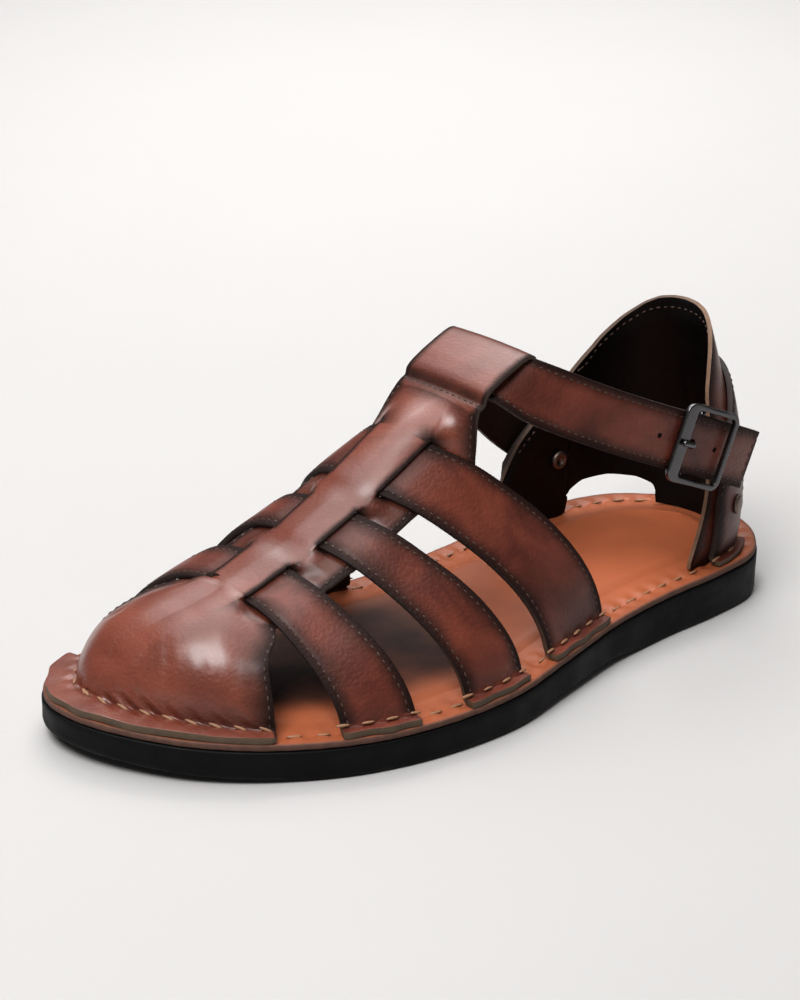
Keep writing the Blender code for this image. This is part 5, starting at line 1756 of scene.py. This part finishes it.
def build_stitches(name, lines, inputs):
    """One mesh of all the stitches of a thread."""
    tree = bpy.data.node_groups.get("Stitch rows") or stitch_tree()
    points, outs, slants = (np.concatenate(values) for values in zip(*lines))
    edges, start = [], 0
    for line, out, slant in lines:
        edges += [(start + k, start + k + 1) for k in range(len(line) - 1)]
        start += len(line)
    mesh = bpy.data.meshes.new(name)
    mesh.from_pydata(points.tolist(), edges, [])
    layers = (("out", "FLOAT_VECTOR", "vector", outs), ("slant", "FLOAT", "value", slants))
    for label, kind, key, values in layers:
        layer = mesh.attributes.new(label, kind, "POINT")
        layer.data.foreach_set(key, values.astype(np.float32).ravel())
    thing = new_object(name, mesh)
    rows = thing.modifiers.new("stitches", "NODES")
    rows.node_group = tree
    for item in tree.interface.items_tree:
        if item.in_out == "INPUT" and item.name in inputs:
            rows[item.identifier] = inputs[item.name]
    return plain(thing)


def size_property(label, words, default, low, high):
    """Length property with its name, description, default and range in metres."""
    return bpy.props.FloatProperty(name=label, description=words, default=default, min=low, max=high,
                                   precision=5, unit="LENGTH")


class SandalSizes(bpy.types.PropertyGroup):
    """Sizes of leather, thread and holes that a maker would change."""
    spine_thick: size_property("Spine thickness", "Leather of the cap, spine and loop", 0.0014, 0.0008, 0.003)
    strap_thick: size_property("Strap thickness", "Leather of the cross straps", 0.00185, 0.001, 0.003)
    flange_thick: size_property("Flange thickness", "Leather of tabs and flange", 0.0023, 0.001, 0.004)
    rounding: size_property("Edge rounding", "How far cut edges are rounded over", 0.0004, 0.0001, 0.001)
    pucker: size_property("Pucker", "Height of the folds pulled by the welt stitches", 0.0006, 0.0, 0.001)
    stitch_groove: size_property("Stitch groove", "How deep a stitch row sinks", 0.0002, 0.0, 0.001)
    stitch_pitch: size_property("Stitch pitch", "Distance from stitch to stitch", 0.0029, 0.001, 0.01)
    stitch_long: size_property("Stitch length", "Length of one stitch", 0.00175, 0.001, 0.008)
    stitch_wide: size_property("Stitch width", "Width of the fine thread", 0.0007, 0.0003, 0.002)
    welt_pitch: size_property("Welt pitch", "Distance from welt stitch to welt stitch", 0.0078, 0.002, 0.012)
    welt_long: size_property("Welt stitch length", "Length of one welt stitch", 0.0052, 0.001, 0.01)
    welt_wide: size_property("Welt stitch width", "Width of the welt thread", 0.0011, 0.0003, 0.003)
    hole_radius: size_property("Hole radius", "Radius of the strap's punched holes", 0.0009, 0.0004, 0.002)


def in_mm(sizes):
    """The sandal's sizes in millimetres."""
    return SimpleNamespace(**{key: getattr(sizes, key) / MM for key in SandalSizes.__annotations__})


def colour_property(label, words, default):
    """Colour property with its name, description and default."""
    return bpy.props.FloatVectorProperty(name=label, description=words, default=default, size=3,
                                         min=0.0, max=1.0, subtype="COLOR")


class SandalColours(bpy.types.PropertyGroup):
    """Colours of the sandal's leathers, thread, rubber and metal."""
    cap_middle: colour_property("Cap brown", "Burnished middle of the cap and spine", (0.125, 0.0265, 0.0145))
    cap_light: colour_property("Cap light brown", "Light parts of the cap and spine", (0.19, 0.046, 0.025))
    strap_middle: colour_property("Strap brown", "Burnished middle of the straps", (0.068, 0.014, 0.008))
    strap_light: colour_property("Strap light brown", "Light parts of the straps", (0.165, 0.036, 0.02))
    dark_edge: colour_property("Burnish", "Hand-darkened leather along edges", (0.0115, 0.0043, 0.0031))
    dyed_edge: colour_property("Dyed edge", "Cut edges of the straps", (0.02, 0.0095, 0.0072))
    raw_edge: colour_property("Raw edge", "Undyed cut edges of tabs and flange", (0.08, 0.048, 0.025))
    counter_edge: colour_property("Counter edge", "Undyed cut edge of the heel counter", (0.165, 0.09, 0.052))
    rim_edge: colour_property("Rim edge", "Cut edge of the footbed's rim", (0.105, 0.052, 0.038))
    strap_lining: colour_property("Strap lining", "Inside of the straps", (0.018, 0.009, 0.0066))
    black_lining: colour_property("Counter lining", "Inside of the heel counter", (0.0016, 0.0013, 0.0012))
    footbed: colour_property("Footbed tan", "Smooth leather under the foot", (0.405, 0.106, 0.042))
    # Colour of the footbed's stain and painted shadow under the straps.
    stain_and_shade: colour_property("Footbed stain", "Footbed darkened under the straps", (0.014, 0.0085, 0.0078))
    rubber: colour_property("Sole black", "Rubber of the sole", (0.0016, 0.0016, 0.0019))
    metal: colour_property("Buckle metal", "Dark metal of the buckle", (0.105, 0.102, 0.105))
    rivet: colour_property("Rivet metal", "Tarnished metal of the rivets", (0.16, 0.115, 0.095))
    thread_brown: colour_property("Brown thread", "Fine thread along edges", (0.045, 0.02, 0.0125))
    thread_tan: colour_property("Tan thread", "Thick thread of the welt", (0.3, 0.15, 0.078))
    floor: colour_property("Floor", "Plain pale floor", (0.47, 0.458, 0.45))


def world_matrix(right, up, back, at):
    """Matrix of an object from its axes and its place."""
    return Matrix([[*values] for values in zip(right, up, back, at)] + [[0, 0, 0, 1]])


def hang_lamp(label, at, aim, size, power, spread):
    """Round soft lamp at a place, turned toward an aim."""
    lamp = bpy.data.lights.new("lamp_" + label, "AREA")
    lamp.shape = "DISK"
    lamp.size = size
    lamp.energy = power
    lamp.spread = math.radians(spread)
    back = unit(np.array(at) - aim)
    right = unit(np.cross((0.0, 0.0, 1.0), back))
    new_object("lamp_" + label, lamp).matrix_world = world_matrix(right, np.cross(back, right), back, at)


def light_world(scene):
    """Faint even light from all round."""
    scene.world = bpy.data.worlds.new("studio")
    scene.world.use_nodes = True
    tree = scene.world.node_tree
    set_inputs(tree, tree.nodes["Background"], {"Color": (1.0, 1.0, 1.0, 1.0), "Strength": WORLD_STRENGTH})


def set_camera(scene):
    """Camera fitted to the photograph's view."""
    camera = bpy.data.cameras.new("camera")
    camera.lens = CAMERA_LENS
    camera.sensor_width = 36.0
    camera.clip_start = 0.01
    scene.camera = new_object("camera", camera)
    scene.camera.matrix_world = world_matrix(CAMERA_RIGHT, CAMERA_UP, CAMERA_BACK, CAMERA_AT)


class SANDAL_OT_stage(bpy.types.Operator):
    """Make the pale floor, the soft lights and the camera"""
    bl_idname = "sandal.stage"
    bl_label = "Stage"

    def execute(self, context):
        corners = [(x * FLOOR_HALF, y * FLOOR_HALF, 0) for x, y in ((-1, -1), (1, -1), (1, 1), (-1, 1))]
        mesh = bpy.data.meshes.new("stage_floor")
        mesh.from_pydata(corners, [], [(0, 1, 2, 3)])
        mesh.materials.append(made_material(context, "stage_pale_floor"))
        new_object("stage_floor", mesh)
        for lamp in LAMPS:
            hang_lamp(*lamp)
        light_world(context.scene)
        set_camera(context.scene)
        context.scene.view_settings.view_transform = "Standard"
        return {"FINISHED"}


class SANDAL_OT_sole(bpy.types.Operator):
    """Make the rubber outsole and the leather footbed"""
    bl_idname = "sandal.sole"
    bl_label = "Sole and footbed"

    def execute(self, context):
        wear(build_outsole(made_material(context, "sole_black_rubber")), "outsole")
        sizes = in_mm(context.scene.sandal_sizes)
        tan = made_material(context, "footbed_tan_leather")
        wear(build_footbed(sizes, tan), "insole")
        sew_welt()
        return {"FINISHED"}


class SANDAL_OT_spine(bpy.types.Operator):
    """Make the toe cap, bridge, wings and instep loop"""
    bl_idname = "sandal.spine"
    bl_label = "Toe cap and spine"

    def execute(self, context):
        finish = finishes(context, "cap_brown_leather", "strap_dark_lining", "cut_leather_edge")
        wear(build_spine(in_mm(context.scene.sandal_sizes), finish), "upper")
        return {"FINISHED"}


class SANDAL_OT_cross_straps(bpy.types.Operator):
    """Make the three woven cross straps"""
    bl_idname = "sandal.cross_straps"
    bl_label = "Cross straps"

    def execute(self, context):
        finish = finishes(context, "strap_brown_leather", "strap_dark_lining", "cut_leather_edge")
        sizes = in_mm(context.scene.sandal_sizes)
        for number in (1, 2, 3):
            wear(build_cross_strap(number, sizes, finish), "upper")
        return {"FINISHED"}


class SANDAL_OT_heel(bpy.types.Operator):
    """Make the heel counter and the outer heel band"""
    bl_idname = "sandal.heel"
    bl_label = "Heel counter and band"

    def execute(self, context):
        sizes = in_mm(context.scene.sandal_sizes)
        finish = finishes(context, "strap_brown_leather", "counter_black_lining", "counter_raw_edge")
        wear(build_heel_counter(sizes, finish), "heel_counter")
        finish = finishes(context, "strap_brown_leather", "strap_dark_lining", "cut_leather_edge")
        wear(build_heel_band(sizes, finish), "heel_band")
        return {"FINISHED"}


class SANDAL_OT_ankle_strap(bpy.types.Operator):
    """Make the ankle strap with its punched holes"""
    bl_idname = "sandal.ankle_strap"
    bl_label = "Ankle strap"

    def execute(self, context):
        finish = finishes(context, "strap_brown_leather", "strap_dark_lining", "cut_leather_edge")
        wear(build_ankle_strap(in_mm(context.scene.sandal_sizes), finish), "ankle_strap")
        return {"FINISHED"}


class SANDAL_OT_metal(bpy.types.Operator):
    """Make the buckle's frame, pin and prong and the two rivets"""
    bl_idname = "sandal.metal"
    bl_label = "Buckle and rivets"

    def execute(self, context):
        metal = made_material(context, "buckle_dark_metal")
        for piece, node in zip(build_buckle(metal), ("buckle_frame", "buckle_pin", "buckle_prong")):
            wear(piece, node)
        metal = made_material(context, "rivet_brown_metal")
        outside = COUNTER_THICK + BAND_GAP + BAND_THICK
        lateral = build_rivet("rivet_lateral_metal", LATERAL_RIVET, outside, 1, RIVET_DOME, metal)
        medial = build_rivet("rivet_medial_metal", MEDIAL_RIVET, 0.0, -1, RIVET_RING, metal)
        wear(lateral, "rivet_lateral")
        wear(medial, "rivet_medial")
        return {"FINISHED"}


class SANDAL_OT_stitches(bpy.types.Operator):
    """Sew the brown rows along the leather's edges and the tan rows of the welt"""
    bl_idname = "sandal.stitches"
    bl_label = "Stitches"

    def execute(self, context):
        sizes = context.scene.sandal_sizes
        for colour, kind in (("brown", "stitch"), ("tan", "welt")):
            pitch, long, wide = (getattr(sizes, kind + end) for end in ("_pitch", "_long", "_wide"))
            piece = build_stitches("stitches_" + colour, threads[colour], {
                "Pitch": pitch, "Long": long, "Wide": wide, "High": STITCH_HIGH * wide,
                "Thread": made_material(context, "thread_" + colour)})
            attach(piece, "root")
        return {"FINISHED"}


class SANDAL_PT_sidebar(bpy.types.Panel):
    """Steps that build the sandal, with its sizes and colours"""
    bl_idname = "SANDAL_PT_sidebar"
    bl_label = "Woven sandal"
    bl_space_type = "VIEW_3D"
    bl_region_type = "UI"
    bl_category = "Sandal"

    def draw(self, context):
        for step in STEPS:
            self.layout.operator(step.bl_idname)
        for group in (context.scene.sandal_sizes, context.scene.sandal_colours):
            box = self.layout.box()
            for key in group.__annotations__:
                box.prop(group, key)


STEPS = (SANDAL_OT_stage, SANDAL_OT_sole, SANDAL_OT_spine, SANDAL_OT_cross_straps, SANDAL_OT_heel,
         SANDAL_OT_ankle_strap, SANDAL_OT_metal, SANDAL_OT_stitches)
CLASSES = (SandalSizes, SandalColours) + STEPS + (SANDAL_PT_sidebar,)


def register():
    """Register the classes and give the scene its sizes and colours."""
    for cls in CLASSES:
        bpy.utils.register_class(cls)
    bpy.types.Scene.sandal_sizes = bpy.props.PointerProperty(type=SandalSizes)
    bpy.types.Scene.sandal_colours = bpy.props.PointerProperty(type=SandalColours)


def unregister():
    """Take the classes and the scene's sizes and colours away again."""
    del bpy.types.Scene.sandal_sizes
    del bpy.types.Scene.sandal_colours
    for cls in reversed(CLASSES):
        bpy.utils.unregister_class(cls)


def main():
    """Build the sandal step by step."""
    register()
    bpy.ops.sandal.stage()
    bpy.ops.sandal.sole()
    bpy.ops.sandal.spine()
    bpy.ops.sandal.cross_straps()
    bpy.ops.sandal.heel()
    bpy.ops.sandal.ankle_strap()
    bpy.ops.sandal.metal()
    bpy.ops.sandal.stitches()


if __name__ == "__main__":
    main()
